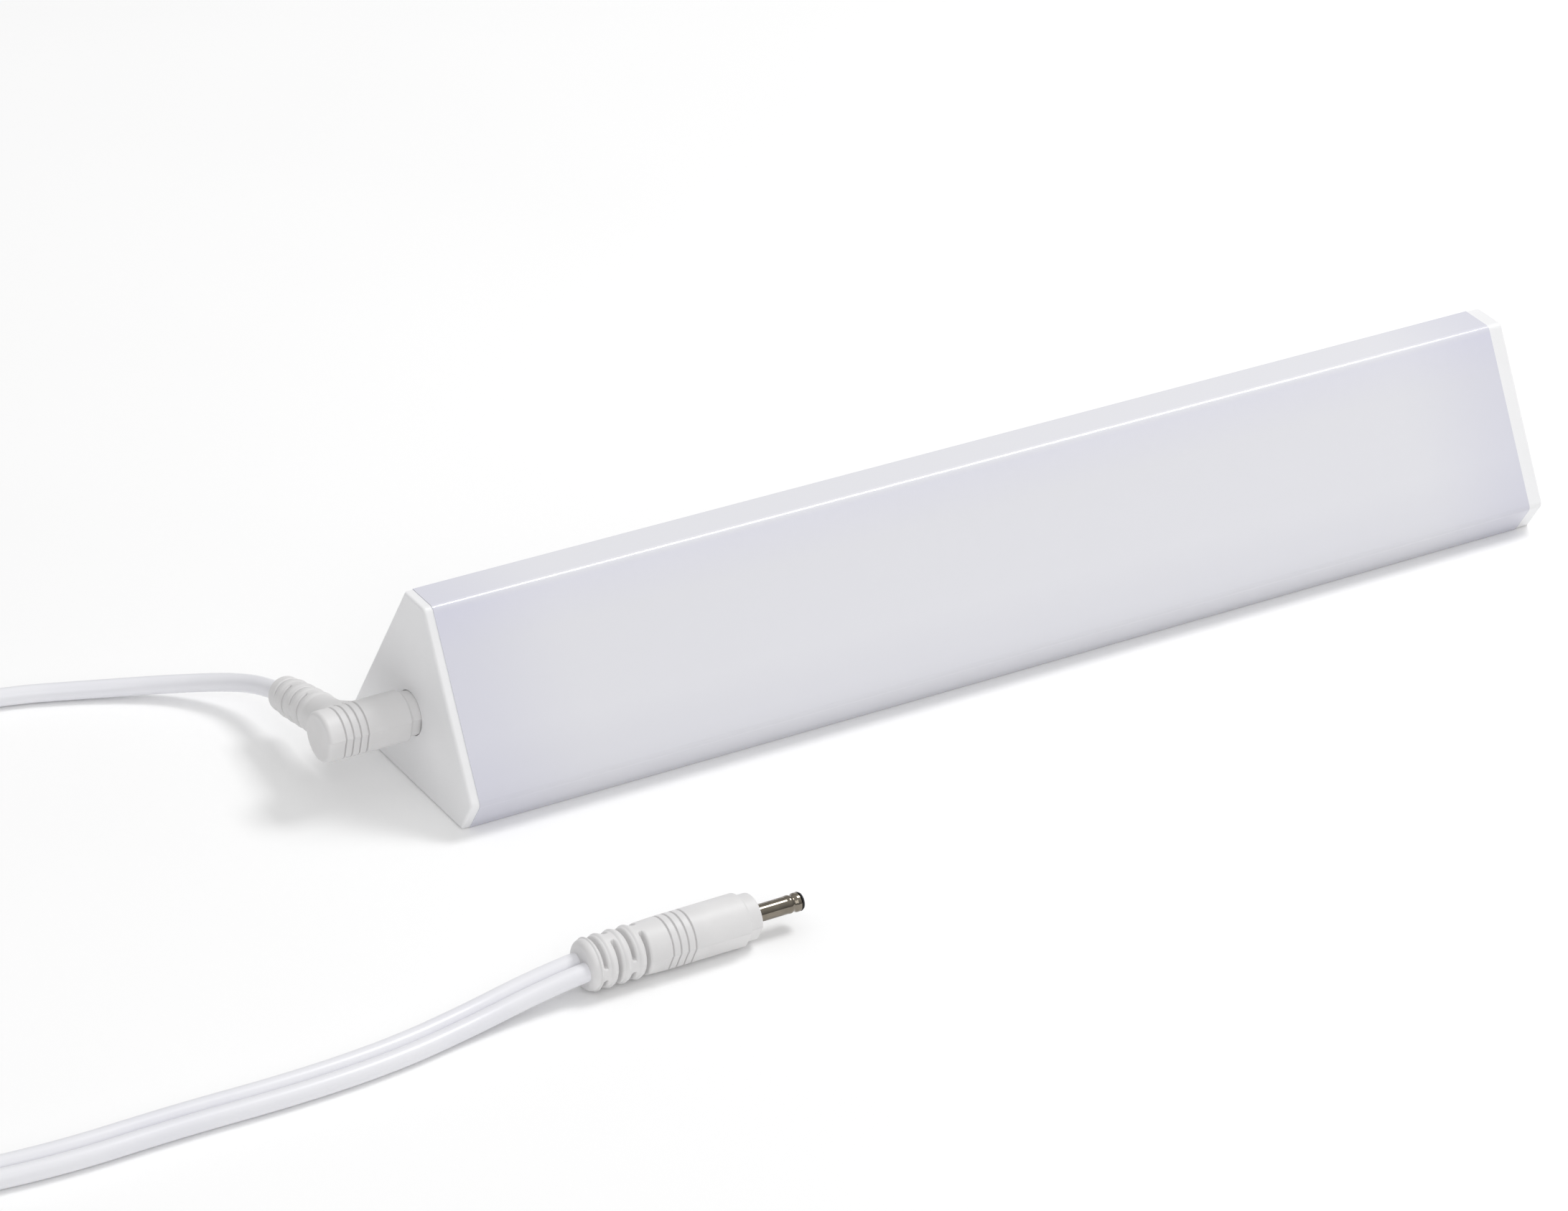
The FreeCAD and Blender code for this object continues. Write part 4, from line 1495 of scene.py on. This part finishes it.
@dataclass
class PowerLead:
    """Two-branch lead: the fitted plug's branch, the spare plug's branch and their tied coil.

    Args:
        coil: the coil that both branches go through.
        diameter: diameter of one cord.
        rise: height between two rows of turns.
        first_row: height of the lowest turns' middle line.
        steps: points of a cord's mesh between two of its control points.
        sides: flats round a cord.
    """

    coil: Coil = field(default_factory=Coil)
    diameter: float = 0.0038
    rise: float = 0.0038
    first_row: float = 0.0025
    steps: int = 12
    sides: int = 20

    def slots(self, low: float) -> list[tuple[float, float]]:
        """Six turns in two rows, outside to inside and back above."""
        outward = list(reversed(self.coil.columns))
        return [(r, low) for r in self.coil.columns] + [(r, low + self.rise) for r in outward]

    def fitted_route(self) -> list[Vector]:
        """Control points of the branch from the fitted plug to the straight plug."""
        into = [
            (-0.1448, 0.024681, 0.010049),
            (-0.1448, 0.026636, 0.009626),
            (-0.1466, 0.0380, 0.0066),
            (-0.1560, 0.0485, 0.0034),
            (-0.1710, 0.0565, 0.0020),
            (-0.1900, 0.0634, 0.0020),
            (-0.2140, 0.0655, 0.0020),
            (-0.2400, 0.0600, 0.0020),
            (-0.2630, 0.0475, 0.0020),
            (-0.2855, 0.0322, 0.0025),
        ]
        out = [
            (-0.3178, -0.0220, 0.0034),
            (-0.3156, -0.0420, 0.0020),
            (-0.3065, -0.0600, 0.0020),
            (-0.2920, -0.0740, 0.0020),
            (-0.2730, -0.0828, 0.0020),
            (-0.2500, -0.0858, 0.0020),
            (-0.2260, -0.0853, 0.0020),
            (-0.2020, -0.0862, 0.0020),
            (-0.1810, -0.0851, 0.0020),
            (-0.1640, -0.0821, 0.0022),
            (-0.1500, -0.0805, 0.0039),
            (-0.1390, -0.08035, 0.00535),
            (-0.1372, -0.08035, 0.00535),
        ]
        beside = self.coil.columns[0] + self.diameter
        top = self.first_row + self.rise
        slots = self.slots(self.first_row) + [(beside, top)]
        wound = self.coil.turns(125.0, 1, slots, 2160.0)
        down = [
            self.coil.point(145.0, beside, top - 0.0003),
            self.coil.point(165.0, beside, top - 0.0012),
            self.coil.point(184.0, beside, top - 0.0021),
        ]
        return [Vector(p) for p in into] + wound + down + [Vector(p) for p in out]

    def spare_route(self) -> list[Vector]:
        """Control points of the branch from the straight plug to the spare plug."""
        into = [
            (-0.1372, -0.08425, 0.00535),
            (-0.1390, -0.08425, 0.00535),
            (-0.1503, -0.0845, 0.0039),
            (-0.1646, -0.0861, 0.0022),
            (-0.1815, -0.0891, 0.0020),
            (-0.2020, -0.0902, 0.0020),
            (-0.2260, -0.0893, 0.0020),
            (-0.2505, -0.0899, 0.0020),
            (-0.2745, -0.0867, 0.0020),
            (-0.2945, -0.0774, 0.0020),
            (-0.3100, -0.0625, 0.0020),
            (-0.3204, -0.0445, 0.0028),
            (-0.3236, -0.0250, 0.0080),
        ]
        out = [
            (-0.3183, 0.0080, 0.0124),
            (-0.3194, 0.0220, 0.0082),
            (-0.3200, 0.0340, 0.0056),
            (-0.3200, 0.0460, 0.00535),
            (-0.3200, 0.0480, 0.00535),
        ]
        slots = self.slots(self.first_row + 2 * self.rise)
        wound = self.coil.turns(178.0, -1, slots, 2158.0)
        return [Vector(p) for p in into] + wound + [Vector(p) for p in out]

    def cord(self, name: str, route: list[Vector]) -> tuple[bpy.types.Object, list[Vector]]:
        """Builds one cord along its route.

        Args:
            name: name of the piece.
            route: control points of its line.

        Returns:
            The piece, riding on nothing yet, and the points of its line.
        """
        path = spline_points(name + "_line", route, self.steps)
        mesh = tube_mesh(name, path, self.diameter / 2, self.sides)
        mesh.materials.append(CORD_PVC.material())
        piece = bpy.data.objects.new(name, mesh)
        bpy.context.scene.collection.objects.link(piece)
        return piece, path

    def build(self) -> None:
        fitted, line = self.cord("lead_a_cord", self.fitted_route())
        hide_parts("lead_a_in", "coil_a", "lead_a_out")
        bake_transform(fitted)
        LOG.info("lead_a_cord: %.3f m", length_of(line))
        spare, path = self.cord("lead_b_cord", self.spare_route())
        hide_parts("lead_b_out", "coil_b", "lead_b_tail")
        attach(spare, Body.LEAD.value)
        LOG.info("lead_b_cord: %.3f m", length_of(path))


def length_of(path: Sequence[Vector]) -> float:
    """Length of a line through points."""
    return sum((b - a).length for a, b in zip(path, path[1:]))


def dress_all() -> None:
    """Gives every carried-over CAD node its finish."""
    finishes = {
        "back_housing": HOUSING_PC,
        "diffuser": OPAL_PC,
        "end_cap_jack": WHITE_ABS,
        "end_cap_blank": WHITE_ABS,
        "board_tape": THERMAL_TAPE,
        "led_board": SOLDER_MASK,
        "led_packages": PHOSPHOR,
        "resistors": RESISTOR,
        "jack_housing": BLACK_NYLON,
        "jack_centre_pin": NICKEL,
        "jack_spring_contact": NICKEL,
        "wire_positive": WIRE_RED,
        "wire_negative": WIRE_BLACK,
    }
    for plug in ("angle_plug", "straight_plug", "spare_plug"):
        finishes[plug + "_inner_mould"] = CORE_PE
        finishes[plug + "_insulator"] = BLACK_NYLON
        finishes[plug + "_contact"] = NICKEL
    for node, finish in finishes.items():
        dress(node, finish)


def main() -> None:
    """Builds the studio, the bar's finishes and the lead, in that order."""
    logging.basicConfig(level=logging.INFO, format="%(name)s: %(message)s")
    Viewpoint().build()
    Studio().build()
    dress_all()
    Plugs().build()
    lead = PowerLead()
    CoilTie().build(lead.coil)
    lead.build()


if __name__ == "__main__":
    main()
